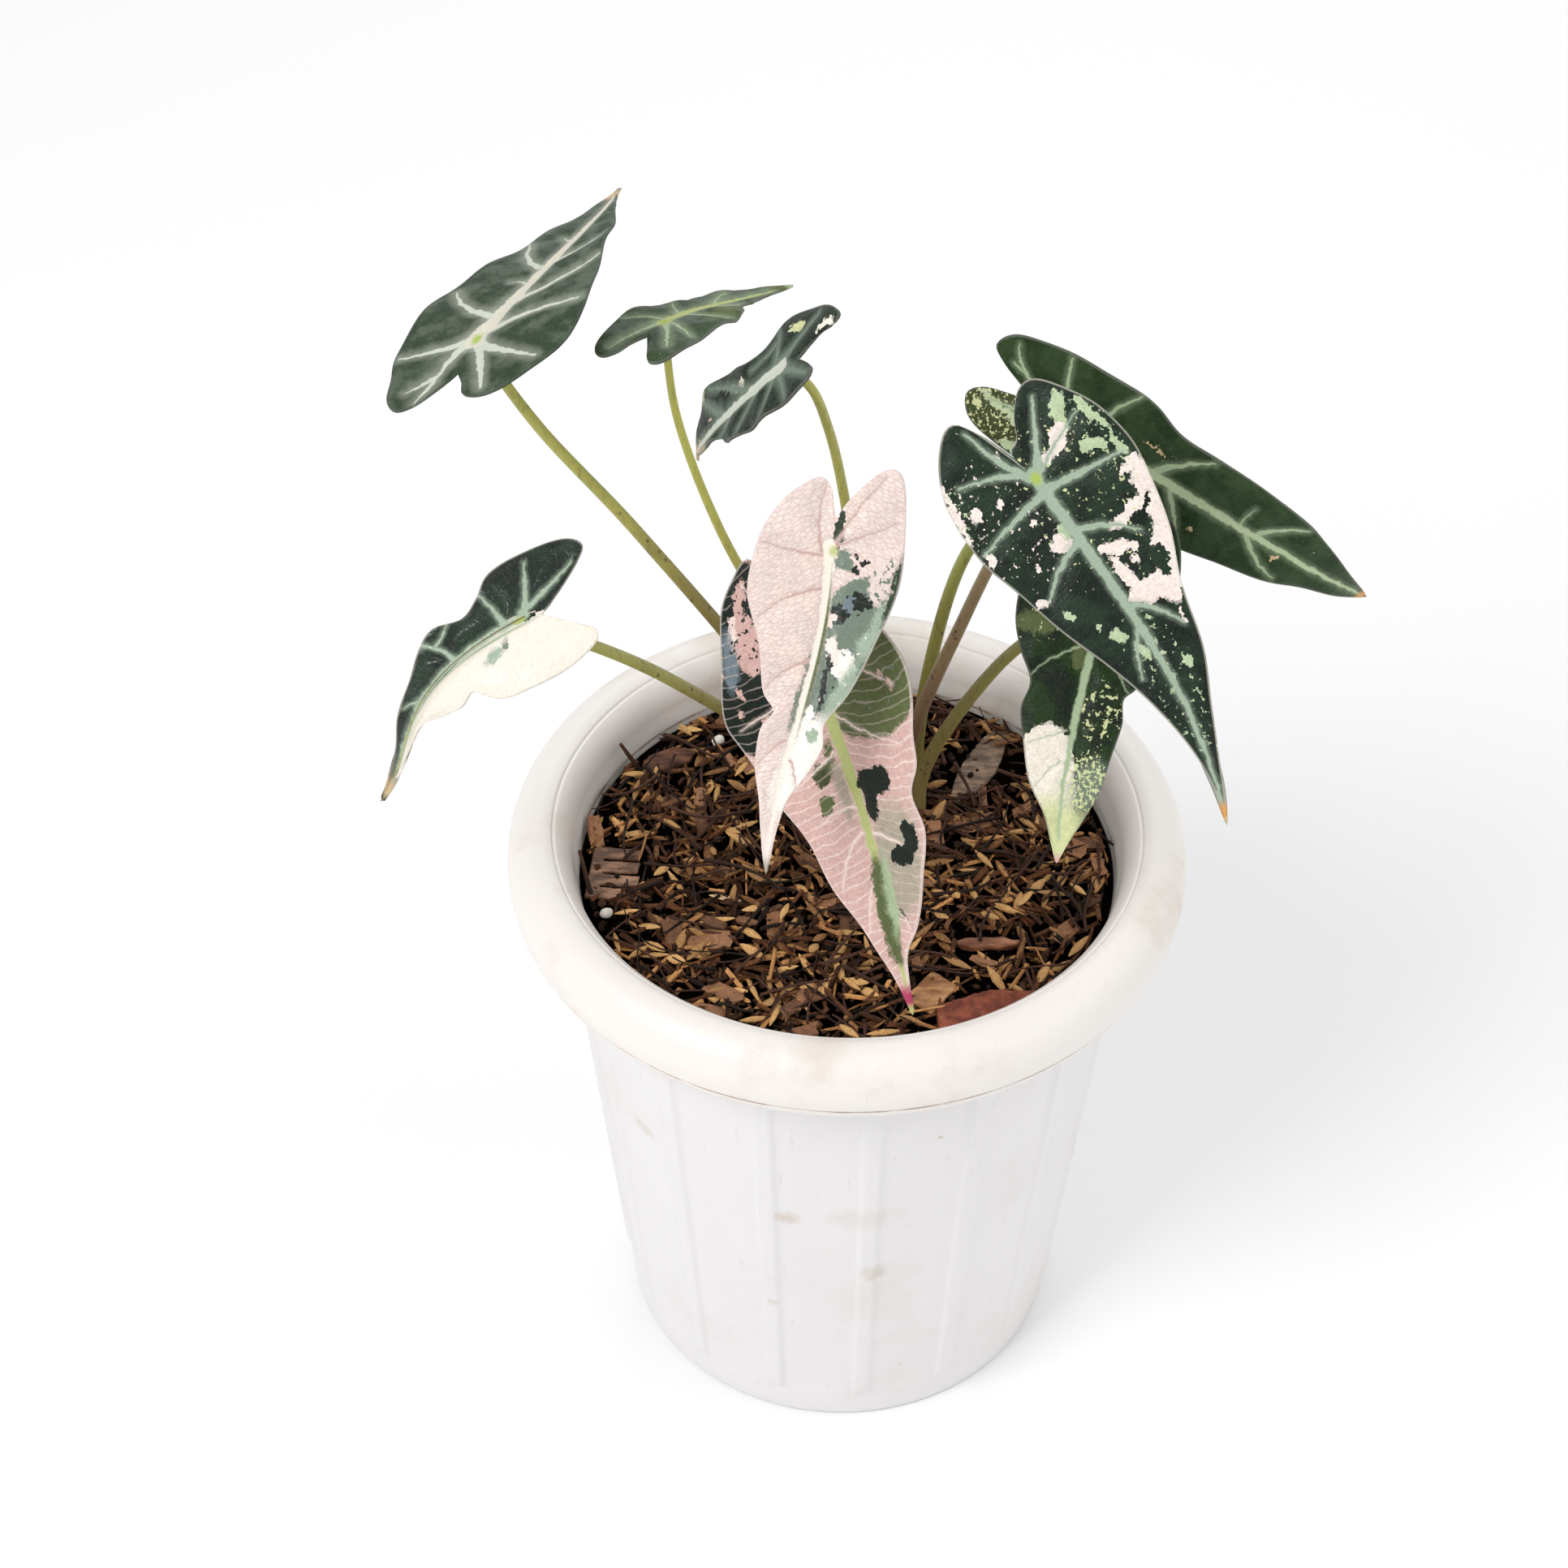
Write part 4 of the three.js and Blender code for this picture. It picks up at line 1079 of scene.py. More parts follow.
FORMS = (
    LeafForm(
        node="leaf_left_back", slot="leaf_dark",
        midrib=((-86, 36.5, 283.5), (-71.5, 67, 288.5), (-62.5, 95, 277.5), (-57.5, 124, 268)),
        facing=((-0.35, 0, 0.94), (-0.48, 0.05, 0.88)),
        fold=(11, 11), curl=-12, neck=8,
        left=((-12, -1), (-17, 1.2), (-23, 5), (-25.5, 9), (-23, 12.5), (-17, 14.5), (-9, 18), (3, 19.5),
            (16, 19), (32, 14.5), (47, 10), (64, 5.5), (80, 1.8), (94.6, 0)),
        right=((-12, -1), (-16, -5), (-20, -8), (-20, -15), (-15, -21.5), (-5, -26.3), (7, -26.5),
            (20, -22.5), (34, -18), (46, -15), (58, -10.5), (71, -6), (84, -2), (94.6, 0)),
        stalk=((-2.5, 33), (-13, 33.5, 168), (-51, 35.5, 227.5), (-73, 35.5, 258.5)),
    ),
    LeafForm(
        node="leaf_top_small", slot="leaf_green",
        midrib=((-44, 57, 274), (-36, 71.5, 269), (-28, 85, 260), (-13.5, 99.5, 255.5)),
        facing=((-0.05, 0.2, 0.97), (-0.1, 0.1, 0.98)),
        fold=(8, 5), curl=-10, neck=8,
        left=((-11, -1.5), (-16, 0), (-21, 0.6), (-24.5, 2.6), (-23, 5.6), (-16, 7.6), (-8, 9.4),
            (2, 10), (10, 9), (15, 6.4), (19, 5), (25, 6.6), (35, 5.6), (46, 3), (56, 0)),
        right=((-11, -1.5), (-17, -5), (-23, -8.5), (-23, -11.5), (-18, -13.2), (-6, -13.5), (6, -13),
            (15, -12), (23, -9), (29, -5), (33, -5.4), (39, -3), (47, -1.2), (56, 0)),
        stalk=((2, 39), (-6, 41, 165.5), (-31.5, 47.5, 219), (-41.5, 52.5, 249.5)), girth=0.75,
    ),
    LeafForm(
        node="leaf_top_netted", slot="leaf_netted",
        midrib=((-17, 11.5, 293), (-27, 19.5, 278), (-37.5, 27, 262.5), (-36.5, 38.5, 247)),
        facing=((-0.85, -0.02, 0.53), (-0.86, -0.37, 0.35)),
        fold=(8, 7), curl=-15, neck=7,
        left=((-8, 1), (-12, 3.4), (-15.5, 6.5), (-15, 9.6), (-10, 11.8), (-2, 12.5), (6, 12.4),
            (14, 11), (22, 9.4), (26.5, 6.4), (33, 4.6), (43, 3.3), (50, 1.2), (57.7, 0)),
        right=((-8, 1), (-13, -1.6), (-19, -3.2), (-21.4, -5.4), (-18, -8.8), (-11, -11.8), (0, -13),
            (7, -10.4), (14, -7.8), (21, -9), (30, -10.2), (38, -10), (43, -5.4), (49, -1), (57.7, 0)),
        stalk=((10, 40.5), (7.5, 37, 170), (0, 25.5, 236), (-5.5, 19, 270.5)), girth=0.85,
    ),
    LeafForm(
        node="leaf_left_cream", slot="leaf_half_cream",
        midrib=((-74, -32.5, 257.5), (-104, -43.5, 246), (-97.5, -42.5, 227.5), (-109, -32.5, 202)),
        facing=((-0.45, -0.45, 0.76), (-0.3, -0.8, 0.5)),
        fold=(6, 10), curl=-20, neck=8,
        left=((-5, 2), (-10, 7), (-14, 11), (-13, 14), (-7, 16), (2, 16.8), (11, 15), (15, 12),
            (17.3, 9), (22, 9.6), (28, 7), (34, 3.6), (44, 2), (55, 0.9), (71, 0)),
        right=((-5, 2), (-10, -1), (-17, -6), (-20, -9.5), (-17, -13), (-10, -14.5), (1, -13.4),
            (6, -9.6), (11, -7), (17, -9), (23, -7.2), (31, -4.4), (43, -2.4), (56, -1), (71, 0)),
        stalk=((-1.5, 26), (-10.5, 19, 165.5), (-42, -5.5, 216), (-60, -20.5, 240)),
    ),
    LeafForm(
        node="leaf_front_pale", slot="leaf_pale",
        midrib=((-6, -32.5, 276.5), (-6, -49.5, 256), (-18.5, -60.5, 241.5), (-19.5, -79, 224.5)),
        facing=((0.02, -0.76, 0.65), (-0.03, -0.77, 0.64)),
        fold=(5, 5), curl=-6, neck=6,
        left=((-7, 1.5), (-11, 4.4), (-16.5, 10.5), (-17.5, 14.5), (-14, 16.4), (-4, 16.5), (7, 15.4),
            (18, 12), (29, 9), (36.3, 5.8), (41.5, 6.8), (48, 5.2), (54.5, 2.4), (62, 0.8), (71.4, 0)),
        right=((-7, 1.5), (-10.5, 1), (-14, 0.4), (-16, -1.6), (-14.5, -5.5), (-11, -10), (-4, -14.8),
            (5, -17), (13, -16.7), (23, -12.6), (33, -9.2), (36.8, -5.6), (41, -7.2), (49, -6.2),
            (56, -3.6), (63, -1.8), (71.4, 0)),
        stalk=((11, 19.5), (10, 13, 172), (4, -4, 222), (-3, -17, 256)),
    ),
    LeafForm(
        node="leaf_front_pink", slot="leaf_pink",
        midrib=((-11.5, -28, 244.5), (1, -48.5, 223), (7, -63.5, 201.5), (13.5, -76.5, 177.5)),
        facing=((-0.48, -0.74, 0.48), (-0.64, -0.65, 0.41)),
        fold=(8, 10), curl=0, neck=7,
        left=((-6, 0), (-12, 2.4), (-18, 5), (-20, 8), (-16.5, 10.5), (-9, 14), (-2, 19.5), (7, 24.2),
            (14, 24.6), (24, 21), (31, 19.6), (37, 15.4), (45, 16.5), (54, 13.4), (65, 8), (74, 1.8),
            (87, 0)),
        right=((-6, 0), (-14, -1.4), (-21, -2.6), (-24, -5), (-21, -9.5), (-15, -15), (-4, -19.5),
            (8, -23.6), (16, -22.8), (33, -18), (45, -14), (57, -11), (67, -6.5), (77, -2.5), (87, 0)),
        stalk=((4, 21), (2, 15, 170), (-4, 0, 206), (-8.5, -13, 228)),
    ),
    LeafForm(
        node="leaf_right_blotched", slot="leaf_dark",
        midrib=((38.5, -24, 289.5), (53.5, -38, 274), (74, -51.5, 256.5), (80, -72.5, 233)),
        facing=((-0.06, -0.78, 0.62), (-0.08, -0.78, 0.62)),
        fold=(5, 3), curl=-4, neck=6,
        left=((-3, -0.8), (-8, -1.2), (-9.5, 1.5), (-14, 4), (-18, 8), (-18, 12), (-13, 16), (-5, 20),
            (5, 21.5), (14, 20), (25, 17), (36, 12), (49, 9), (60, 5), (71, 2.2), (79, 1), (86, 0)),
        right=((-3, -0.8), (-9, -2.7), (-16, -5.1), (-20, -7.7), (-19, -11.5), (-13, -16.5), (-5, -19.5),
            (7, -20), (17, -17.8), (30, -15), (42, -11), (54, -7), (67, -3.2), (77, -1), (86, 0)),
        stalk=((14.5, 28), (15.5, 21.5, 170), (26.5, -2, 233.5), (33, -14.5, 265.5)),
    ),
    LeafForm(
        node="leaf_right_back", slot="leaf_green",
        midrib=((48.5, 10.5, 278.5), (77.5, 0, 265), (106, -12.5, 251.5), (121.5, 11, 228)),
        facing=((-0.27, -0.94, 0.22), (-0.15, -0.9, 0.41)),
        fold=(8, 6), curl=-8, neck=5,
        left=((-9, 0), (-14, 2), (-20, 4.5), (-23.5, 7.5), (-21, 12), (-14, 14.5), (-4, 16), (6, 16),
            (14, 15), (22, 12.2), (31, 11.6), (45, 11), (57, 9.5), (68, 6.5), (80, 3), (95, 0)),
        right=((-9, 0), (-15, -1.4), (-21, -3.5), (-23.5, -7), (-20, -11.5), (-12, -13.5), (0, -14),
            (15, -13.5), (36, -12), (48, -9.5), (60, -7.5), (70, -4.6), (82, -2.5), (95, 0)),
        stalk=((18.5, 35.5), (18.5, 32.5, 167.5), (26.5, 23.5, 227.5), (38.5, 16, 257)),
    ),
    LeafForm(
        node="leaf_right_low", slot="leaf_half_yellow",
        midrib=((56.5, -15.5, 253.5), (52.5, -28.5, 240.5), (46, -39, 227), (45.5, -58, 207.5)),
        facing=((-0.07, -0.7, 0.71), (-0.06, -0.7, 0.71)),
        fold=(4, 4), curl=-8, neck=7,
        left=((-5, 0), (-12, 4), (-17, 8), (-17, 11.5), (-10, 15), (3, 16.5), (14, 15), (21, 12.4),
            (24.5, 10), (30, 11), (38, 10), (47, 8.5), (54, 5.4), (59, 2.6), (64, 0)),
        right=((-5, 0), (-12, -4), (-17, -8), (-17, -12), (-10, -16.5), (3, -18.5), (12, -18), (19, -15),
            (25, -11.2), (31, -12), (38, -10), (46, -7.5), (53, -3.4), (59, -1.4), (64, 0)),
        stalk=((19, 21), (19, 17, 165), (34.5, 2.5, 213), (47, -7.5, 236.5)),
    ),
)

FINISHES = {
    "leaf_left_back": LeafFinish(
        base=Tone.FOREST_GREEN, mottle=Tone.SILVER_WASH, vein=Tone.SILVER_VEIN, midrib=Tone.CREAM_VEIN,
        midrib_width=2.4, sway=-5.0, halo=3.0, halo_share=0.3, net_share=0.16, roughness=0.5,
        veins=(
            Vein((-1, 1), (-7, 4), (-15, 3.5), 1.1), Vein((-15, 3.5), (-19, 4.5), (-23, 5.2), 0.6),
            Vein((-14, 3.7), (-17, 6), (-20, 9), 0.6), Vein((-1, 1), (-7, 8), (-9.8, 16.5), 1.1),
            Vein((8, 0), (8.5, 11), (18, 16), 1.1), Vein((30, -1), (34, 6.5), (47, 9.2), 0.9),
            Vein((44, -3), (46, -1.5), (49, 1), 0.5), Vein((22, -1), (24, 1), (23, 3), 0.35),
            Vein((-1, -1), (-8, -6), (-18, -12), 1.6), Vein((-3, -3), (-6, -10), (-8, -22), 1.3),
            Vein((3, -3), (8, -9), (10.5, -23.5), 1.1), Vein((14, -4), (17, -12), (28, -19.5), 0.9),
            Vein((31, -6), (33, -11), (38.5, -15), 0.6),
        ),
        late_patches=marks(Tone.JOINT_LIME, (-0.3, 0.2, 1.7, 1.1), edge=0.7, ragged=False),
        tip_length=15.0, rim=Tone.SILVER_WASH,
        stalk_top=(172, 170, 84), stalk_foot=(112, 86, 54),
    ),
    "leaf_top_small": LeafFinish(
        base=Tone.LEAF_GREEN, mottle=Tone.SILVER_WASH, vein=Tone.GREEN_VEIN, midrib=Tone.LIME_VEIN,
        midrib_width=1.2, halo=2.6, halo_share=0.4, roughness=0.5,
        veins=(
            Vein((0, 0), (-8, 2), (-20, 3), 0.6), Vein((0, 0), (-5, -4), (-15, -9), 0.9),
            Vein((1, 0), (-2, -6), (-7, -11), 0.5), Vein((2, 1), (1, 5), (-4, 9), 0.5),
            Vein((8, 0), (11, 4), (14, 6), 0.5), Vein((9, -1), (11, -6), (13, -10), 0.5),
            Vein((24, 0), (28, 3), (35, 4.6), 0.4), Vein((22, -1), (26, -3), (30, -4), 0.4),
        ),
        patches=(
            *marks(Tone.FOREST_GREEN, (13, 3.8, 5, 1.8), (-12, -5, 7, 2.2, 25), edge=0.3),
            *marks(Tone.SILVER_WASH, (36, 3, 18, 3.4, -4), edge=0.5),
            *marks(Tone.OLIVE, (16, -7, 10, 3, 12), edge=0.6),
        ),
        flecks=(Flecks((-14, -9), (9, 5), Tone.YELLOW_FLECK, 0.5, 0.12),),
        late_patches=marks(Tone.JOINT_LIME, (0, 0, 1.5, 0.9), edge=0.7, ragged=False),
        tip=Tone.OLIVE, tip_end=Tone.PALE_GREEN,
        stalk_top=(184, 182, 88), stalk_foot=(150, 140, 70),
    ),
    "leaf_top_netted": LeafFinish(
        base=Tone.NIGHT_GREEN, mottle=Tone.BLUE_GREEN, vein=Tone.GREY_GREEN, midrib=Tone.SILVER_VEIN,
        midrib_width=1.9, sway=1.4, halo=2.2, halo_share=0.7, net_share=0.3, roughness=0.45,
        veins=(
            Vein((0, 0), (-7, 3.5), (-14, 7.5), 1.1), Vein((-1, 2), (-4, 6), (-6.5, 10.5), 0.8),
            Vein((1, 2), (1.5, 6), (4, 11), 0.8), Vein((9, 2), (11, 5), (16, 9), 0.8),
            Vein((22, 2), (24, 5), (27, 6), 0.6), Vein((0, -1), (-6, -4), (-13, -9), 1.0),
            Vein((2, -1), (2, -5), (3, -11), 0.9), Vein((4, -8), (8, -6), (13, -5), 0.6),
            Vein((15, -1), (24, -6), (35, -9.5), 0.8), Vein((28, 0), (33, -4), (40, -8), 0.8),
        ),
        patches=(
            *marks(Tone.YELLOW_FLECK, (-5, -9, 3.4, 1.5)),
            *marks(Tone.CREAM, (-17, -4, 2.6, 0.9, 10)),
            *marks(Tone.NIGHT_GREEN, (-2.5, -9, 1.4, 1.1)),
            *marks(Tone.TAN, (46, 1.6, 9, 2.4, -8), edge=0.4),
            *marks(Tone.CREAM_VEIN, (19, -4, 4, 1, -12)),
            *marks(Tone.NIGHT_GREEN, (36, -1.3, 4, 1.1, -8)),
            *marks(Tone.YELLOW_FLECK, (40, -8.5, 4, 0.9, 8)),
        ),
        late_patches=(
            *marks(Tone.ROSE, (34, -1.7, 1.3, 0.6, -20)),
            *marks(Tone.NIGHT_GREEN, (26, -4.5, 3.5, 1.3, -25)),
        ),
        tip_end=Tone.MAUVE_GREY, tip_length=10.0, wander=1.4,
        stalk_top=(176, 174, 90), stalk_foot=(124, 100, 62),
    ),
    "leaf_left_cream": LeafFinish(
        base=Tone.NIGHT_GREEN, mottle=Tone.BLUE_GREEN, vein=Tone.SILVER_GREEN, midrib=Tone.SILVER_GREEN,
        midrib_width=0.8, halo=1.1, halo_share=0.4, net_share=0.05, roughness=0.22, gloss=0.4,
        tint_depth=0.04, puff=1.3,
        veins=(
            Vein((-1, -1), (-9, -3), (-16, -7), 0.7), Vein((-2, -1), (-4.5, -6), (-6.5, -12), 0.7),
            Vein((3.5, -0.5), (4, -6), (5.5, -10), 0.6), Vein((17, -0.5), (17.5, -5), (22, -9), 0.6),
            Vein((18.5, -6), (16.5, -6), (14, -8), 0.3), Vein((31, -0.5), (32.5, -2), (35, -3), 0.4),
        ),
        patches=(
            *marks(Tone.CREAM, (8, 9.6, 30, 9.2), (38, 6.6, 26, 6.2, -5), (-2, 8, 11, 7.6, -38), edge=0.02,
                ragged=False),
            *marks(Tone.SILVER_GREEN, (8.5, 5.5, 2.4, 1.6, 20), edge=0.3),
            *marks(Tone.NIGHT_GREEN, (-3, 0.9, 2.6, 0.7)),
            *marks(Tone.GREY_GREEN, (5, 4.6, 0.8, 1.6, -20), edge=0.3),
        ),
        late_patches=(
            *marks(Tone.GREEN_VEIN, (14, 1.7, 17, 0.5, -2), edge=0.6, ragged=False),
            *marks(Tone.JOINT_LIME, (0, 0.4, 1.3, 0.8), edge=0.7, ragged=False),
            *marks(Tone.CREAM, (26, 2.5, 22, 1.4, -3), edge=0.5, ragged=False),
            *marks(Tone.SILVER_GREEN, (40, 0.2, 14, 0.4), edge=0.4, ragged=False),
        ),
        rim=Tone.CREAM, rim_share=0.3, tip_end=Tone.DARK_OLIVE, tip_length=14.0, wander=0.9,
        stalk_top=(170, 168, 94), stalk_foot=(112, 88, 54),
    ),
    "leaf_front_pale": LeafFinish(
        base=Tone.PINK_CREAM, mottle=Tone.ROSE_PALE, vein=Tone.PINK_NET, midrib=Tone.CREAM,
        midrib_width=1.2, halo=0.8, halo_share=0.25, net=Tone.PINK_NET, tint_depth=0.05,
        net_share=0.42, net_cell=1.5, arc_share=0.14, roughness=0.36, gloss=0.4,
        veins=(
            Vein((0, -1.5), (-7, -3.2), (-14, -0.6), 0.3), Vein((1, -1), (0, -8), (-2, -14.5), 0.32),
            Vein((8, -1), (9.5, -9), (16.5, -14), 0.36), Vein((24, -1), (26, -6), (33, -9), 0.34),
            Vein((42, -1), (44, -4), (49, -6), 0.26), Vein((-1, 1), (-8, 5), (-16, 12.5), 0.3),
            Vein((-1, 1), (-3, 8), (-6, 15), 0.26), Vein((46, 1), (49, 3), (53, 4), 0.22),
        ),
        patches=(
            *marks(Tone.GREY_GREEN, (24, 6.4, 19, 7.6, -13), (12, 8, 7, 7), edge=0.05),
            *marks(Tone.FOREST_GREEN, (9, 14.6, 8, 1.5, -8), edge=0.2),
            *marks(Tone.PINK_CREAM, (6, 11.6, 4.4, 2.2, -10), edge=0.2),
            *marks(Tone.WHITE, (23.5, 6.6, 4.0, 2.7, 24)),
            *marks(Tone.CREAM_PINK, (21.5, 3.2, 3.6, 1.4, 20)),
            *marks(Tone.SILVER_GREEN, (30, 7.6, 7.5, 2.0, -12), edge=0.3),
            *marks(Tone.SILVER_GREEN, (16, 11, 6, 1.6, -12), edge=0.4),
            *marks(Tone.NIGHT_GREEN, (10, 7, 1.3, 3.0), (13, 3.4, 2.4, 1.7, -30)),
            *marks(Tone.BLUE_SHEEN, (11, 4.8, 1.5, 1.2)),
            *marks(Tone.NIGHT_GREEN, (27.5, 3.4, 5.2, 1.0, 4), (35.5, 3.0, 2.4, 0.7, -24)),
            *marks(Tone.GREY_GREEN, (1.8, 3.2, 2.4, 1.7, 20)),
            *marks(Tone.FOREST_GREEN, (-5, 2.4, 4.6, 0.9, -8)),
            *marks(Tone.ROSE_PALE, (14.5, 1.9, 1.4, 1.0)),
            *marks(Tone.NIGHT_GREEN, (2.2, 8, 0.6, 1.0, 20), (3.4, 6, 0.7, 0.8), (1.2, 6.3, 0.35, 0.4)),
            *marks(Tone.WHITE, (47, 3, 12, 4.5, -8), edge=0.2),
            *marks(Tone.WHITE, (37.5, 1.6, 3.8, 1.2, -10)),
            *marks(Tone.SILVER_GREEN, (39.5, 3.8, 1.6, 1.2)),
        ),
        flecks=(
            Flecks((26, 8), (14, 5), Tone.WHITE, 0.8, 0.22, -12),
            Flecks((22, 5), (16, 5), Tone.FOREST_GREEN, 1.0, 0.2, -12),
            Flecks((6, 12), (5, 3), Tone.GREY_GREEN, 0.7, 0.5, -10),
        ),
        late_patches=(
            *marks(Tone.OLIVE, (22, 0.75, 16, 0.4), edge=0.5, ragged=False),
            *marks(Tone.LIME_VEIN, (0, 1.0, 1.1, 0.9), edge=0.8, ragged=False),
        ),
        rim=Tone.PINK_CREAM, tip=Tone.CREAM_PINK, tip_end=Tone.MAUVE_GREY, tip_length=12.0, wander=1.1,
        stalk_top=(176, 172, 110), stalk_foot=(128, 112, 76), underside=Tone.ROSE_PALE,
    ),
    "leaf_front_pink": LeafFinish(
        base=Tone.ROSE, mottle=Tone.ROSE, vein=Tone.ROSE_PALE, midrib=Tone.LIME_VEIN,
        midrib_width=1.8, sway=0.6, halo=0.9, halo_share=0.3, net=Tone.ROSE_PALE, net_share=0.3,
        arc_share=0.7,
        veins=(
            Vein((37, -1), (36, -4), (39, -10), 0.24), Vein((43, -1), (45, -6), (55, -9.5), 0.24),
            Vein((43, 1), (45, 7), (49.5, 13), 0.3), Vein((16, 2), (22, 7), (26, 17), 0.2),
            Vein((60, 1), (62, 4), (66, 6), 0.2), Vein((54, -1), (58, -4), (66, -5.5), 0.2),
            Vein((0, -1), (-8, -5), (-19, -8), 0.25), Vein((8, -2), (9, -10), (12, -21), 0.3),
            Vein((24, -2), (27, -8), (30, -14), 0.2), Vein((3, 2), (6, 10), (14, 20), 0.25),
        ),
        patches=(
            *marks(Tone.OLIVE, (9, 12, 14.5, 16), edge=0.04),
            *marks(Tone.MAUVE_GREY, (50, 7.5, 13, 6.6, -14), edge=0.25),
            *marks(Tone.NIGHT_GREEN, (-10, -9, 14, 13), (9, -16, 11.5, 9), edge=0.05),
            *marks(Tone.ROSE, (-6, -11.5, 7, 3.6, -12), (-15, -10, 6, 1.3, -26)),
            *marks(Tone.ROSE_PALE, (-10, -14, 4, 1.2, -20)),
            *marks(Tone.BLUE_SHEEN, (-4, -17, 7, 1.9, -14), edge=0.4),
            *marks(Tone.DARK_OLIVE, (28, -6.4, 3.0, 1.9, -24)),
            *marks(Tone.OLIVE, (35, -7.2, 2.6, 1.9, -10)),
            *marks(Tone.OLIVE, (25, -3.2, 4.5, 1.4, -14), edge=0.3),
            *marks(Tone.MAUVE_GREY, (33, -2.6, 7, 1.3), edge=0.4),
            *marks(Tone.DEEP_GREEN, (62.5, 3.7, 1.2, 0.8)),
            *marks(Tone.ROSE, (11, 17.5, 1.2, 0.8), (14, 19, 1.4, 0.7), (4, -17, 1.6, 0.9),
                (8, -19.6, 1.0, 0.8), (12, -14, 1.5, 1.0)),
        ),
        flecks=(
            Flecks((-10, -11), (11, 6), Tone.NIGHT_GREEN, 0.8, 0.4, -10),
            Flecks((10, 12), (11, 11), Tone.GREY_GREEN, 1.2, 0.25),
        ),
        late_patches=(
            *marks(Tone.NIGHT_GREEN, (32.2, 6.6, 3.4, 5.0), (36.6, 4.2, 4.4, 2.1, -8),
                (45.5, 12.4, 3.8, 1.9, 8), (49.0, 9.4, 2.2, 3.9, 10)),
            *marks(Tone.OLIVE, (62, 0.2, 13, 2.4, -2), edge=0.12),
            *marks(Tone.GREEN_VEIN, (58, 2.2, 10, 1.6, -6), edge=0.4),
        ),
        rim=Tone.CREAM_PINK, tip=Tone.MAGENTA, tip_end=Tone.LIME_VEIN, wander=1.0,
        stalk_top=(170, 168, 104), stalk_foot=(124, 106, 72), underside=Tone.ROSE_PALE,
    ),
    "leaf_right_blotched": LeafFinish(
        base=Tone.BLUE_GREEN, mottle=Tone.NIGHT_GREEN, vein=Tone.SILVER_GREEN, midrib=Tone.SILVER_GREEN,
        midrib_width=1.25, sway=-0.4, halo=1.2, halo_share=0.35, net_share=0.06, roughness=0.38,
        veins=(
            Vein((-1, 1), (-7, 5), (-15, 9.5), 0.9), Vein((-1, 2), (-4, 8), (-7, 15), 0.4),
            Vein((3, 1), (4.5, 9), (6, 18.5), 0.9), Vein((14, 1), (16, 7), (22, 11.5), 0.7),
            Vein((34, 1), (36.5, 5), (43, 8), 0.6), Vein((-1, -1), (-7, -5), (-17, -7), 0.9),
            Vein((-3, -3), (-6, -7), (-8, -15), 0.7), Vein((3.5, -1), (4, -9), (6.5, -18.5), 0.8),
            Vein((16, -1), (17, -7), (23, -13.5), 0.7), Vein((39, -1), (42, -4.5), (49, -6), 0.5),
        ),
        patches=(
            *marks(Tone.CREAM_PINK, (17, 17.6, 8.5, 2.8, -14), (29, 13.4, 10.5, 3.0, -27),
                (33.4, 7, 3.0, 6.2, -8), (17.4, 11.5, 1.3, 5.0, 8), (28.5, 3.4, 5.4, 1.7, 6),
                (21.8, 5, 1.6, 3.8, -22), (24.2, 8.6, 1.1, 1.2), (26, 7.2, 0.9, 0.9)),
            *marks(Tone.NIGHT_GREEN, (19.5, 14, 5.2, 0.75, -50)),
            *marks(Tone.BLUE_GREEN, (29.2, 11.2, 3.4, 1.8, -10), (29.0, 7.4, 1.3, 1.6)),
            *marks(Tone.CREAM_PINK, (9, 18.3, 1.0, 3.0, 8)),
            *marks(Tone.PALE_GREEN, (-9, 12.4, 5, 1.8, -20)),
            *marks(Tone.CREAM_PINK, (-5, 9, 3.2, 2.2, -40), (-3, 6, 1.3, 3.4, 14)),
            *marks(Tone.PALE_GREEN, (0.2, 13, 1.8, 1.7, -30), (1.6, 15, 1.0, 1.8, -30),
                (-5, 17.8, 5.4, 0.9, 12), (4, 18.7, 4, 0.8)),
            *marks(Tone.CREAM_PINK, (14.2, -3.6, 2.0, 2.4)),
            *marks(Tone.PALE_GREEN, (13, -1.7, 2, 0.9)),
            *marks(Tone.CREAM_PINK, (-1, -15, 1.7, 1.5), (-0.6, -9.4, 1.1, 0.9), (-8.6, -4.3, 2.0, 0.5, -8),
                (7.3, -6, 0.6, 0.9), (15.4, -10.5, 0.7, 0.5), (22.4, -14.8, 1.5, 0.9, -10)),
            *marks(Tone.PALE_GREEN, (28, -12, 1.7, 0.9, 14), (38, -5.6, 1.6, 1.5, 30),
                (43.6, -2.6, 2.8, 1.0, 8), (34, -8, 1.0, 0.7)),
            *marks(Tone.CREAM_PINK, (-4, -18.6, 7.5, 0.9, -8), (8, -18.2, 2, 0.8, 10)),
            *marks(Tone.PALE_GREEN, (50.4, 4.7, 1.7, 1.1), (38, 2.2, 0.7, 0.6)),
            *marks(Tone.CREAM_PINK, (41.5, 8.4, 1.7, 0.7, -10)),
            *marks(Tone.NIGHT_GREEN, (27, -4.6, 3, 1.6), edge=0.5),
        ),
        flecks=(
            Flecks((8, 6), (22, 14), Tone.YELLOW_FLECK, 0.75, 0.3),
            Flecks((4, -10), (20, 10), Tone.CREAM_PINK, 0.7, 0.28),
            Flecks((54, 0), (22, 7), Tone.PALE_GREEN, 0.9, 0.34),
            Flecks((0, 17), (14, 4), Tone.PALE_GREEN, 0.6, 0.34),
            Flecks((-4, -18), (12, 3), Tone.PALE_GREEN, 0.6, 0.35),
        ),
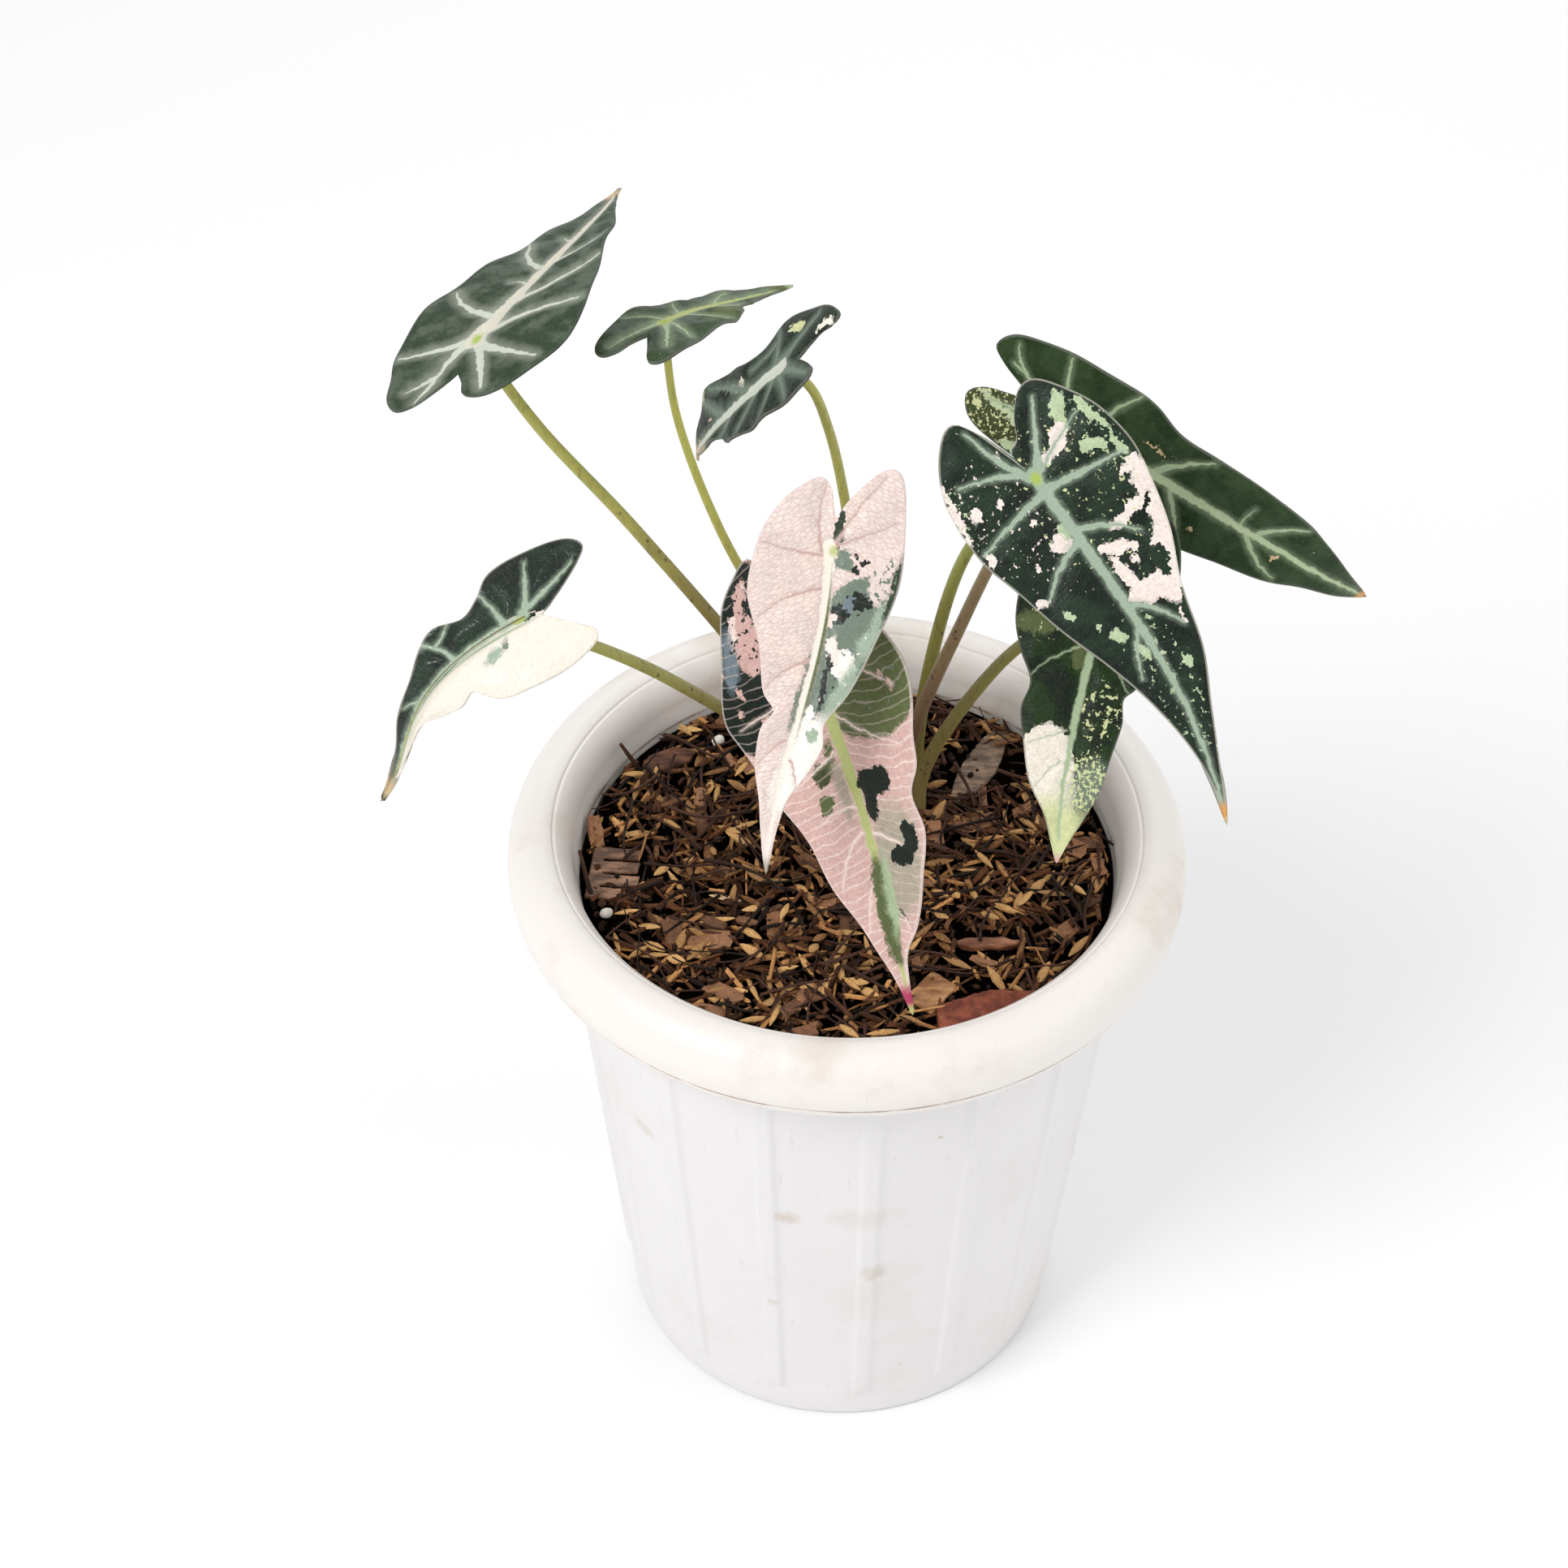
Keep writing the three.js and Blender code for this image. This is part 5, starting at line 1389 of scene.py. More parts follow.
        late_patches=marks(Tone.JOINT_LIME, (-0.2, 0, 1.4, 1.1), edge=0.6, ragged=False),
        rim=Tone.CREAM_VEIN, tip=Tone.AMBER, tip_end=Tone.TAN, tip_length=5.0, wander=1.0,
        stalk_top=(150, 130, 96), stalk_foot=(140, 112, 90),
    ),
    "leaf_right_back": LeafFinish(
        base=Tone.LEAF_GREEN, mottle=Tone.DEEP_GREEN, vein=Tone.GREEN_VEIN, midrib=Tone.PALE_GREEN,
        midrib_width=1.25, halo=1.6, halo_share=0.3, net_share=0.1, roughness=0.46,
        veins=(
            Vein((-1, 1), (-12, 4), (-18, 6), 0.8), Vein((-14, 5), (-18, 7), (-19, 11), 0.4),
            Vein((-1, 1), (-5, 6), (-7.5, 14.5), 0.7), Vein((4, 1), (5.5, 8), (10, 15), 0.8),
            Vein((22, 1), (25, 6), (32, 10.5), 0.9), Vein((50, 1), (53, 5), (59, 8), 0.7),
            Vein((27, -1), (31, -5), (35, -10.5), 0.6), Vein((48, -1), (52, -5), (60, -6.5), 0.6),
            Vein((5, -1), (8, -7), (13, -12.5), 0.7), Vein((-1, -1), (-9, -3), (-18, -5), 0.7),
            Vein((45, 1), (45, 4), (45.5, 6), 0.2), Vein((-2, -2), (-6, -7), (-9, -12), 0.6),
        ),
        patches=(
            *marks(Tone.DARK_OLIVE, (-17, -6, 12, 9), edge=0.1),
            *marks(Tone.PALE_GREEN, (-17, -4.8, 6, 0.7, -10), (-11, -5.4, 2.4, 1.3, -14),
                (-9, -12.4, 2.6, 1.0, 4)),
            *marks(Tone.YELLOW_FLECK, (-20.5, -7, 1.3, 1.0)),
            *marks(Tone.TAN, (17, 6.4, 1.8, 0.5, 10), (20.5, 6.0, 1.6, 0.4, -20), (36.5, -6, 0.8, 0.5),
                (56.5, -1.6, 0.9, 0.6)),
        ),
        flecks=(
            Flecks((-15, -7), (11, 7), Tone.YELLOW_FLECK, 0.55, 0.5),
            Flecks((20, 5), (9, 3), Tone.TAN, 0.5, 0.18),
            Flecks((60, 4), (12, 4), Tone.PALE_GREEN, 0.4, 0.12),
        ),
        late_patches=marks(Tone.JOINT_LIME, (0, 0, 1.5, 1.2), edge=0.6, ragged=False),
        tip=Tone.AMBER, tip_length=7.0, wander=1.0,
        stalk_top=(150, 158, 80), stalk_foot=(132, 124, 66),
    ),
    "leaf_right_low": LeafFinish(
        base=Tone.DEEP_GREEN, mottle=Tone.NIGHT_GREEN, vein=Tone.GREEN_VEIN, midrib=Tone.GREEN_VEIN,
        midrib_width=1.1, sway=0.5, halo=0.6, halo_share=0.2, net=Tone.OLIVE, net_share=0.1, roughness=0.4,
        veins=(
            Vein((34, -1), (36, -5), (38, -9), 0.12), Vein((41, -1), (43, -4), (47, -6), 0.12),
            Vein((14, -1), (18, -8), (24, -12), 0.12), Vein((14, 1), (17, 6), (23, 11), 0.12),
            Vein((0, 1), (-6, 5), (-13, 9), 0.6), Vein((0, -1), (-6, -6), (-13, -11), 0.6),
            Vein((2, 1), (3, 8), (6, 15), 0.5), Vein((2, -1), (3, -9), (6, -17), 0.5),
        ),
        patches=(
            *marks(Tone.CREAM, (48, -5, 15, 8), edge=0.03),
            *marks(Tone.YELLOW_GREEN, (60, -1, 11, 9), edge=0.4),
            *marks(Tone.OLIVE, (16, -1.7, 4, 1.6, -10), edge=0.2),
            *marks(Tone.OLIVE, (12, -12.4, 2.8, 5, 12), edge=0.15),
            *marks(Tone.GREY_GREEN, (46, 6, 6, 4, -14), edge=0.5),
            *marks(Tone.OLIVE, (-4, 3, 5, 2.4, 20), edge=0.3),
        ),
        flecks=(
            Flecks((28, 6), (8, 5), Tone.YELLOW_GREEN, 0.8, 0.5),
            Flecks((45, 5.4), (8, 5), Tone.YELLOW_GREEN, 0.55, 0.62),
            Flecks((12, -12), (5, 6), Tone.YELLOW_GREEN, 0.7, 0.3),
            Flecks((6, 8), (14, 8), Tone.YELLOW_GREEN, 0.6, 0.22),
        ),
        tip=Tone.YELLOW_GREEN, tip_end=Tone.ROSE, tip_length=6.0, wander=1.2,
        stalk_top=(140, 138, 78), stalk_foot=(138, 124, 76), underside=Tone.OLIVE,
    ),
}


def lathe_mesh(profile: Array, angles: Array, shape: Callable[[Array, Array, Array], Placed],
               ) -> Mesh:
    """Turns a closed profile about the upright axis.

    Args:
        profile: Radius and height of each row, from the axis back to the axis.
        angles: The columns' angles, with the last one a full turn after the first.
        shape: Gives the final radius and height from the radius, the height and the angle.

    Returns:
        The closed surface with its faces outwards.
    """
    def place(across: Array, along: Array) -> Array:
        """A grid point's place on the turned shape."""
        column = np.rint(across * (len(angles) - 1)).astype(int)
        row = np.rint(along * (len(profile) - 1)).astype(int)
        radius, height = shape(profile[row, 0], profile[row, 1], angles[column])
        return np.stack([radius * np.cos(angles[column]), radius * np.sin(angles[column]), height], axis=1)

    mesh = grid_mesh(len(angles) - 1, len(profile) - 1, place)
    bmesh.ops.recalc_face_normals(mesh, faces=mesh.faces)
    return mesh


@dataclass(frozen=True)
class PotFinish:
    """The pot's plastic: its two whites, the painted shadow line under its lip, its stains and its
    scratches.
    """

    body: Colour = paint((228, 226, 226))
    lip: Colour = paint((235, 230, 226))
    # Painted shadow: the dark line in the groove under the lip's roll.
    line: Colour = paint((148, 116, 88))
    stain: Colour = paint((196, 178, 156))
    scratch: Colour = paint((168, 160, 150))
    roughness: float = 0.42


@dataclass
class Pot:
    """The moulded plastic pot: a fluted body with a thick rounded lip.

    Lengths are in millimetres, except in the colouring: the stains' places and sizes, the level of the
    painted shadow line and the levels where the body's white gives way to the lip's are in metres.
    """

    finish: PotFinish = field(default_factory=PotFinish)
    lip_centre: float = 76.05
    lip_level: float = 155.9
    lip_half_width: float = 7.95
    lip_half_height: float = 10.4
    lip_under: float = 147.4
    lip_under_radius: float = 78.9
    ledge: float = 0.7
    body_top: float = 70.5
    base_radius: float = 57.0
    foot_rounding: float = 1.5
    wall: float = 2.4
    floor: float = 4.0
    floor_fillet: float = 3.0
    soil_top: float = 150.5
    soil_radius: float = 66.6
    flutes: int = 16
    flute_phase: float = math.radians(5)
    rib_width: float = math.radians(5.6)
    rib_height: float = 0.9
    hollow: float = 0.45
    ribs_from: float = 12.0
    ribs_to: float = 142.0
    grooves: tuple[Point, ...] = ((-24.0, 2.4, 0.75), (117.0, 2.4, 0.3))
    body_ends: float = 0.1485
    lip_starts: float = 0.1500
    # The level of the painted shadow line in the lip's groove.
    shadow_line_level: float = 0.1517
    stains: tuple[tuple[Point, Point, float], ...] = (
        ((-0.0147, -0.0636, 0.090), (0.004, 0.02, 0.003), 0.5),
        ((0.0077, -0.0628, 0.068), (0.005, 0.02, 0.004), 0.45),
        ((0.0222, -0.0644, 0.121), (0.0008, 0.02, 0.0007), 0.9),
        ((-0.0181, -0.0591, 0.052), (0.002, 0.02, 0.002), 0.4),
        ((-0.0506, -0.0425, 0.099), (0.004, 0.01, 0.003), 0.35),
        ((0.004, -0.0635, 0.092), (0.012, 0.02, 0.005), 0.2),
    )
    drain_holes: int = 6
    drain_radius: float = 5.0
    drain_circle: float = 38.0

    def body_radius(self, height: Array | float) -> Array | float:
        """The body's outer radius between its ribs."""
        return self.base_radius + (self.body_top - self.base_radius) * (height / self.lip_under)

    def inner_radius(self, height: Array | float) -> Array | float:
        """The inner wall's radius."""
        floor_radius = self.base_radius - self.wall
        return floor_radius + (self.soil_radius - floor_radius) * (height / self.soil_top)

    def lip_dent(self, turn: float) -> float:
        """How deep the lip's two fine grooves are at an angle of its section.

        Each groove has its angle, half-width in degrees and depth: one over the bead and one on the top.
        """
        degrees = math.degrees(turn)
        return sum(
            depth * math.exp(-(((degrees - angle) / width) ** 2)) for angle, width, depth in self.grooves
        )

    def profile(self) -> Array:
        """The pot's section, from the middle of its foot round the lip to the middle of its floor."""
        foot = [(radius, 0.0) for radius in (0.0, 20.0, 32.0, 38.0, 44.0, 50.0)]
        corner = [
            (self.base_radius - self.foot_rounding * (1 - math.sin(turn)),
             self.foot_rounding * (1 - math.cos(turn)))
            for turn in np.linspace(0, math.pi / 2, 5)
        ]
        levels = [4.0, 7.0, *np.linspace(9, 15, 7), *np.linspace(20, 136, 18), *np.linspace(139, 145, 7)]
        body = [(self.body_radius(level), level) for level in levels]
        under = self.lip_under + self.ledge
        edge = self.lip_under_radius
        turns = [*np.radians(np.linspace(-52, -34, 7)), *np.radians(np.linspace(-31, -17, 18)),
                 *np.radians(np.linspace(-13, 108, 26)), *np.radians(np.linspace(110, 124, 14)),
                 *np.radians(np.linspace(128, 180, 10))]
        lip = [
            (self.lip_centre + (self.lip_half_width - self.lip_dent(turn)) * math.cos(turn),
             self.lip_level + (self.lip_half_height - self.lip_dent(turn)) * math.sin(turn))
            for turn in turns
        ]
        ledge = [
            (self.body_radius(under - 1.2), under - 1.2), (self.body_radius(under) + 0.5, under - 0.1),
            (edge - 1.2, self.lip_under), (edge - 0.3, self.lip_under + 0.15),
            (edge, under), (edge - 0.35, self.lip_under + 1.6 * self.ledge),
            (lip[0][0], self.lip_under + 2 * self.ledge),
        ]
        floor_top = self.floor + self.floor_fillet
        inner_levels = (self.soil_top, 120.0, 80.0, 40.0, floor_top)
        inside = [(self.inner_radius(level), level) for level in inner_levels]
        bend = [
            (self.inner_radius(floor_top) - self.floor_fillet * (1 - math.cos(turn)),
             floor_top - self.floor_fillet * math.sin(turn))
            for turn in np.linspace(0.4, math.pi / 2, 4)
        ]
        floor = [(radius, self.floor) for radius in (44.0, 38.0, 32.0, 20.0, 0.0)]
        return np.array([*foot, *corner, *body, *ledge, *lip[1:], *inside, *bend, *floor])

    def angles(self) -> Array:
        """Column angles, closer together on each rib."""
        half = self.rib_width / 2
        pitch = 2 * math.pi / self.flutes
        offsets = [*np.linspace(-half, half, 13), *np.linspace(half, pitch - half, 12)[1:-1]]
        start = self.flute_phase - math.pi / 2
        turns = [start + flute * pitch + offset for flute in range(self.flutes) for offset in offsets]
        return np.array([*turns, turns[0] + 2 * math.pi])

    def shaped(self, radius: Array, height: Array, angle: Array) -> Placed:
        """Raises the ribs and hollows the wall between them."""
        pitch = 2 * math.pi / self.flutes
        offset = np.abs((angle + math.pi / 2 - self.flute_phase + pitch / 2) % pitch - pitch / 2)
        across = 1 - smooth(offset, 0.5 * self.rib_width / 2, self.rib_width / 2)
        upright = smooth(height, self.ribs_from - 2, self.ribs_from + 1)
        upright = upright * (1 - smooth(height, self.ribs_to - 1, self.ribs_to + 2))
        outer = (radius > self.inner_radius(height) + 1) & (height > 1)
        between = np.clip((offset - self.rib_width / 2) / (pitch / 2 - self.rib_width / 2), 0, 1)
        hollow = self.hollow * np.sin(between * math.pi / 2) ** 2
        return radius + np.where(outer, (self.rib_height * across - hollow) * upright, 0), height

    def mesh(self) -> Mesh:
        """The pot without its drain holes."""
        return lathe_mesh(self.profile(), self.angles(), self.shaped)

    def bored(self, mesh: Mesh) -> Mesh:
        """Bores the drain holes."""
        drills = bmesh.new()
        for hole in range(self.drain_holes):
            angle = (hole + 0.5) / self.drain_holes * 2 * math.pi
            middle = Vector((math.cos(angle), math.sin(angle), 0)) * self.drain_circle * MM
            bmesh.ops.create_cone(
                drills, cap_ends=True, segments=32, radius1=self.drain_radius * MM,
                radius2=self.drain_radius * MM, depth=4 * self.floor * MM, matrix=Matrix.Translation(middle),
            )
        return cut_away(mesh, drills)

    def material(self) -> Material:
        """Slightly dirty white plastic, with a painted shadow line in the groove under the lip."""
        look = self.finish
        material, make = new_material("pot_plastic_white")
        place = make.place()
        level = make.parts(place)[2]
        on_lip = make.ramp(level, self.body_ends, self.lip_starts)
        colour = make.mix(on_lip, look.body, look.lip)
        cloud = make.noise(place, 26.0, 5, 0.6)
        dirt = make.times(make.ramp(cloud, 0.5, 0.72), make.ramp(on_lip, 0.0, 1.0, 0.12, 0.45))
        colour = make.mix(dirt, colour, look.stain)
        grit = make.ramp(make.noise(place, 420.0, 3, 0.7), 0.66, 0.74)
        grit = make.times(grit, make.ramp(make.noise(place, 45.0, 3), 0.52, 0.66))
        colour = make.mix(make.times(grit, 0.35), colour, look.scratch)
        scratches = make.noise(make.stretch(place, (1.0, 1.0, 0.12)), 700.0, 4, 0.6)
        colour = make.mix(make.ramp(scratches, 0.64, 0.72, 0.0, 0.14), colour, look.scratch)
        for spot, reach, strength in self.stains:
            offset = make.vector("DIVIDE", make.vector("SUBTRACT", place, spot), reach)
            away = make.vector("LENGTH", offset)
            rough = make.math("MULTIPLY_ADD", make.noise(place, 330.0, 3, 0.65), 1.6, away)
            colour = make.mix(make.ramp(rough, 1.0, 1.9, strength, 0.0), colour, look.stain)
        # Painted shadow: a broken dark line along the groove under the lip.
        shadow_line_gap = make.math("ABSOLUTE", make.less(level, self.shadow_line_level))
        broken = make.ramp(make.noise(place, 90.0, 4, 0.7), 0.4, 0.6, 0.25, 1.0)
        line = make.times(make.ramp(shadow_line_gap, 0.0001, 0.0006, 0.8, 0.0), broken)
        colour = make.mix(line, colour, look.line)
        height = make.plus(make.noise(place, 1500.0, 2), make.times(cloud, 0.6))
        roughness = make.ramp(cloud, 0.3, 0.7, look.roughness - 0.06, look.roughness + 0.14)
        make.surface(colour, roughness, make.bump(height, 0.0002, 0.25))
        return material

    def build(self) -> None:
        """Makes the pot in place of its CAD node."""
        finish_piece("pot_moulded", self.bored(self.mesh()), [self.material()], ["pot"])


def cut_away(mesh: Mesh, tools: Mesh) -> Mesh:
    """Cuts one mesh out of another with an applied Boolean.

    Args:
        mesh: The mesh to cut, which is freed.
        tools: What is cut away, which is freed.

    Returns:
        The cut mesh.
    """
    solids = []
    for part in (mesh, tools):
        data = bpy.data.meshes.new("solid")
        part.to_mesh(data)
        part.free()
        solid = bpy.data.objects.new("solid", data)
        bpy.context.scene.collection.objects.link(solid)
        solids.append(solid)
    modifier = solids[0].modifiers.new("cut", "BOOLEAN")
    modifier.operation = "DIFFERENCE"
    modifier.solver = "EXACT"
    modifier.object = solids[1]
    seen = solids[0].evaluated_get(bpy.context.evaluated_depsgraph_get())
    result = bmesh.new()
    result.from_mesh(seen.to_mesh())
    seen.to_mesh_clear()
    for solid in solids:
        data = solid.data
        bpy.data.objects.remove(solid)
        bpy.data.meshes.remove(data)
    return result


@dataclass(frozen=True)
class LitterFinish:
    """A kind of litter's two tones and its gloss."""

    dark: Colour
    pale: Colour
    roughness: float
    grain: float
    gloss: float = 0.2


class Litter(Enum):
    """What the potting mix is made of, in the order of the mix's materials."""

    GROUND = LitterFinish(paint((10, 7, 5)), paint((38, 26, 19)), 0.95, 900.0, 0.0)
    CRUMB = LitterFinish(paint((16, 10, 7)), paint((84, 58, 40)), 0.9, 1400.0)
    SLIVER = LitterFinish(paint((22, 13, 9)), paint((112, 70, 42)), 0.75, 1100.0)
    SHRED = LitterFinish(paint((92, 56, 30)), paint((214, 154, 92)), 0.6, 1100.0, 0.35)
    BARK = LitterFinish(paint((64, 40, 28)), paint((164, 118, 86)), 0.75, 700.0)
    HUSK = LitterFinish(paint((112, 70, 34)), paint((230, 180, 114)), 0.5, 1500.0, 0.35)
    GRAIN = LitterFinish(paint((196, 116, 44)), paint((240, 208, 160)), 0.45, 1500.0, 0.5)
    TWIG = LitterFinish(paint((14, 9, 7)), paint((86, 56, 42)), 0.6, 1200.0)


@dataclass
class Mix:
    """The potting mix: one dark body with husks, bark, twigs and crumbs strewn over it, in millimetres."""

    pot: Pot
    top: float = 150.3
    gap: float = 0.35
    seed: int = 24
    husks: int = 320
    chips: int = 64
    twigs: int = 240
    slivers: int = 1300
    shreds: int = 480
    crumbs: int = 900
    grains: tuple[Flat, ...] = ((-29.7, -13.6), (29.7, 14.6), (-12.0, -48.0), (44.0, -18.0))
    standing: tuple[tuple[Point, Point], ...] = (
        ((-51.5, 33.0, 149.5), (-57.3, 33.4, 160.5)), ((-62.0, -15.5, 149.5), (-66.2, -2.0, 157.0)),
    )
    kept_clear: tuple[tuple[Flat, float], ...] = (
        ((32, -51), 9.5), ((19.5, -45), 6), ((34, -29), 6), ((28, -29), 4), ((40, -29), 4), ((-57.5, -4), 9),
        ((-45, 37), 6), ((34.5, 34.5), 11), ((-59, -19), 3.5), ((-32.6, 43.7), 3.5),
    )
    husk_length: float = 9.2
    husk_width: float = 3.0
    lump_scale: float = 0.11
    lump_height: float = 1.4
    lump_drop: float = 0.9

    def ground(self) -> Mesh:
        """The body of the mix, lumpy on top."""
        bottom = self.pot.floor + self.gap
        foot = self.pot.inner_radius(self.pot.floor + self.pot.floor_fillet) - self.gap
        brim = self.pot.soil_radius - self.gap
        low = [(0.0, bottom), (30.0, bottom), (foot - 3.0, bottom), (foot, bottom + 3.0)]
        wall = [(self.pot.inner_radius(level) - self.gap, level) for level in (40.0, 80.0, 120.0, 145.0)]
        rings = [(radius, self.top) for radius in np.linspace(brim, 0, 46)]
        angles = np.linspace(0, 2 * math.pi, 145)

        def lumpy(radius: Array, height: Array, angle: Array) -> Placed:
            """Roughens the top and keeps it clear of the wall."""
            spots = np.stack([radius * np.cos(angle), radius * np.sin(angle)], axis=1)
            places = [Vector((x * self.lump_scale, y * self.lump_scale, 3.0)) for x, y in spots]
            bumps = np.array([noise.fractal(place, 0.8, 2.1, 4) for place in places])
            on_top = (height > self.top - 0.01) & (radius < brim - 0.5)
            return radius, height + np.where(on_top, self.lump_height * bumps - self.lump_drop, 0)

        return lathe_mesh(np.array([*low, *wall, *rings]), angles, lumpy)

    def spots(self, count: int, draw: random.Random, low: bool = False) -> list[Flat]:
        """Places spread evenly over the mix, most of them clear of the pieces that lie loose on it."""
        golden = math.pi * (3 - math.sqrt(5))
        reach = self.pot.soil_radius - self.gap - 1.6
        places = []
        for number in range(count):
            radius = reach * math.sqrt((number + draw.random()) / count)
            angle = number * golden + 1.2 * draw.random()
            place = (radius * math.cos(angle), radius * math.sin(angle))
            buried = any(math.dist(place, spot) < size for spot, size in self.kept_clear)
            if low or not buried:
                places.append(place)
        return places

    def room(self, spot: Flat, turn: float) -> float:
        """How far a piece may reach to both sides of its spot along a heading before it meets the wall."""
        wall = self.pot.soil_radius - self.gap - 0.9
        across = abs(spot[0] * math.cos(turn) + spot[1] * math.sin(turn))
        aside = abs(spot[0] * math.sin(turn) - spot[1] * math.cos(turn))
        return math.sqrt(max(wall ** 2 - aside ** 2, 0.0)) - across

    def strew(self, target: Mesh, kind: Litter, spots: Sequence[Flat], draw: random.Random,
              make: Callable[[random.Random], Mesh]) -> None:
        """Makes one piece of litter for each spot and lays it on the mix.

        Args:
            target: The mesh that the pieces are added to.
            kind: What they are.
            spots: Where they lie.
            draw: The random draws.
            make: Makes one piece about its own middle, in millimetres.
        """
        order = list(Litter).index(kind)
        batch = bmesh.new()
        for number, spot in enumerate(spots):
            part = make(draw)
            layer = part.loops.layers.uv.get("draw") or part.loops.layers.uv.new("draw")
            tone = draw.random()
            for face in part.faces:
                face.material_index = order
                for loop in face.loops:
                    loop[layer].uv = (tone, 0.5)
            half_length = max(abs(vertex.co.x) for vertex in part.verts)
            turns = [draw.uniform(0, 2 * math.pi) for _ in range(7)]
            turn = next((turn for turn in turns if self.room(spot, turn) > half_length), turns[0])
            size = min(1.0, max(self.room(spot, turn), 0.5) / half_length)
            turned = Matrix.Rotation(turn, 4, "Z") @ Matrix.Scale(size * MM, 4)
            place = Matrix.Translation(Vector((*spot, self.top)) * MM) @ turned
            bmesh.ops.transform(part, matrix=place, verts=part.verts)
            add_mesh(batch, part)
            if number % 40 == 39 or number == len(spots) - 1:
                add_mesh(target, batch)
                batch = bmesh.new()
        batch.free()

    def lean(self, level: float, tilt: float, draw: random.Random) -> Matrix:
        """A lift with a small tilt."""
        ahead = Matrix.Rotation(draw.uniform(-tilt, tilt), 4, "X")
        aside = Matrix.Rotation(draw.uniform(-tilt, tilt), 4, "Y")
        return Matrix.Translation((0, 0, level)) @ (ahead @ aside)

    def husk(self, draw: random.Random) -> Mesh:
        """A rice husk: a slim spindle with pointed ends, slightly flat."""
        part = bmesh.new()
        bmesh.ops.create_uvsphere(part, u_segments=8, v_segments=6, radius=1.0)
        for vertex in part.verts:
            vertex.co.xy *= (1 - abs(vertex.co.z)) ** 0.25
        size = Matrix.Diagonal((self.husk_length / 2 * draw.uniform(0.55, 1.05),
                                self.husk_width / 2 * draw.uniform(0.45, 0.9), draw.uniform(0.5, 0.9), 1))
        place = self.lean(draw.uniform(1.0, 3.0), 0.4, draw) @ size @ Matrix.Rotation(math.pi / 2, 4, "Y")
        bmesh.ops.transform(part, matrix=place, verts=part.verts)
        return part

    def slab(self, length: float, width: float, height: float, level: float, tilt: float,
             draw: random.Random) -> Mesh:
        """A broken slab with uneven corners."""
        part = bmesh.new()
        bmesh.ops.create_cube(part, size=1.0)
        bmesh.ops.subdivide_edges(part, edges=part.edges[:], cuts=1, use_grid_fill=True)
        for vertex in part.verts:
            round_off = 1 - 0.2 * vertex.co.length_squared
            vertex.co = vertex.co * round_off + Vector([draw.uniform(-0.13, 0.13) for _ in range(3)])
        place = self.lean(level, tilt, draw) @ Matrix.Diagonal((length, width, height, 1))
        bmesh.ops.transform(part, matrix=place, verts=part.verts)
        return part

    def chip(self, draw: random.Random) -> Mesh:
        """A bark chip."""
        length = draw.uniform(5, 12)
        width = length * draw.uniform(0.3, 0.6)
        return self.slab(length, width, draw.uniform(0.8, 1.6), draw.uniform(1.0, 2.6), 0.3, draw)

    def sliver(self, draw: random.Random) -> Mesh:
        """A thin sliver of bark or wood."""
        length = draw.uniform(2.2, 10.0)
        width = draw.uniform(0.4, 1.3)
        return self.slab(length, width, draw.uniform(0.4, 0.9), draw.uniform(0.2, 2.6), 0.5, draw)

    def twig(self, draw: random.Random) -> Mesh:
        """A bent fibre or root end."""
        length = draw.uniform(7, 24)
        low = draw.uniform(1.6, 3.2)
        controls = [
            (length * share, draw.uniform(-0.16, 0.16) * length, low + draw.uniform(0, 1.4))
            for share in (-0.5, -0.17, 0.17, 0.5)
        ]
        thick = draw.uniform(0.25, 0.6)
        part = tube_mesh(Route.bezier(controls, 24), lambda share: thick * (1 - 0.5 * share), 9, 6, "draw")
        bmesh.ops.scale(part, vec=(1 / MM, 1 / MM, 1 / MM), verts=part.verts)
        return part

    def crumb(self, draw: random.Random) -> Mesh:
        """A crumb of bark or earth."""
        part = bmesh.new()
        radius = draw.uniform(0.5, 1.5)
        size = Matrix.Diagonal((1.0, draw.uniform(0.55, 1.0), draw.uniform(0.5, 0.9), 1))
        place = self.lean(draw.uniform(0.1, 1.4), 0.6, draw) @ size
        bmesh.ops.create_icosphere(part, subdivisions=1, radius=radius, matrix=place)
        for vertex in part.verts:
            vertex.co += Vector([draw.uniform(-0.22, 0.22) * radius for _ in range(3)])
        return part

    def material(self, kind: Litter) -> Material:
        """One kind of litter: each piece has its own tone, with grain and pale wear."""
        look = kind.value
        material, make = new_material(f"mix_{kind.name.lower()}")
        drawn = make.parts(make.plan("draw"))[0]
        place = make.place()
        grain = make.noise(place, look.grain, 4, 0.65)
        share = make.math("MULTIPLY_ADD", make.less(grain, 0.5), 0.9, drawn, clamp=True)
        colour = make.mix(share, look.dark, look.pale)
        fibres = make.noise(make.stretch(place, (1.0, 0.3, 1.0)), 2.2 * look.grain, 3, 0.6)
        colour = make.mix(make.ramp(fibres, 0.5, 0.66, 0.0, 0.35), colour, look.dark)
        height = make.plus(grain, make.times(fibres, 0.6))
        make.surface(colour, look.roughness, make.bump(height, 0.0006, 0.6), Specular_IOR_Level=look.gloss)
        return material

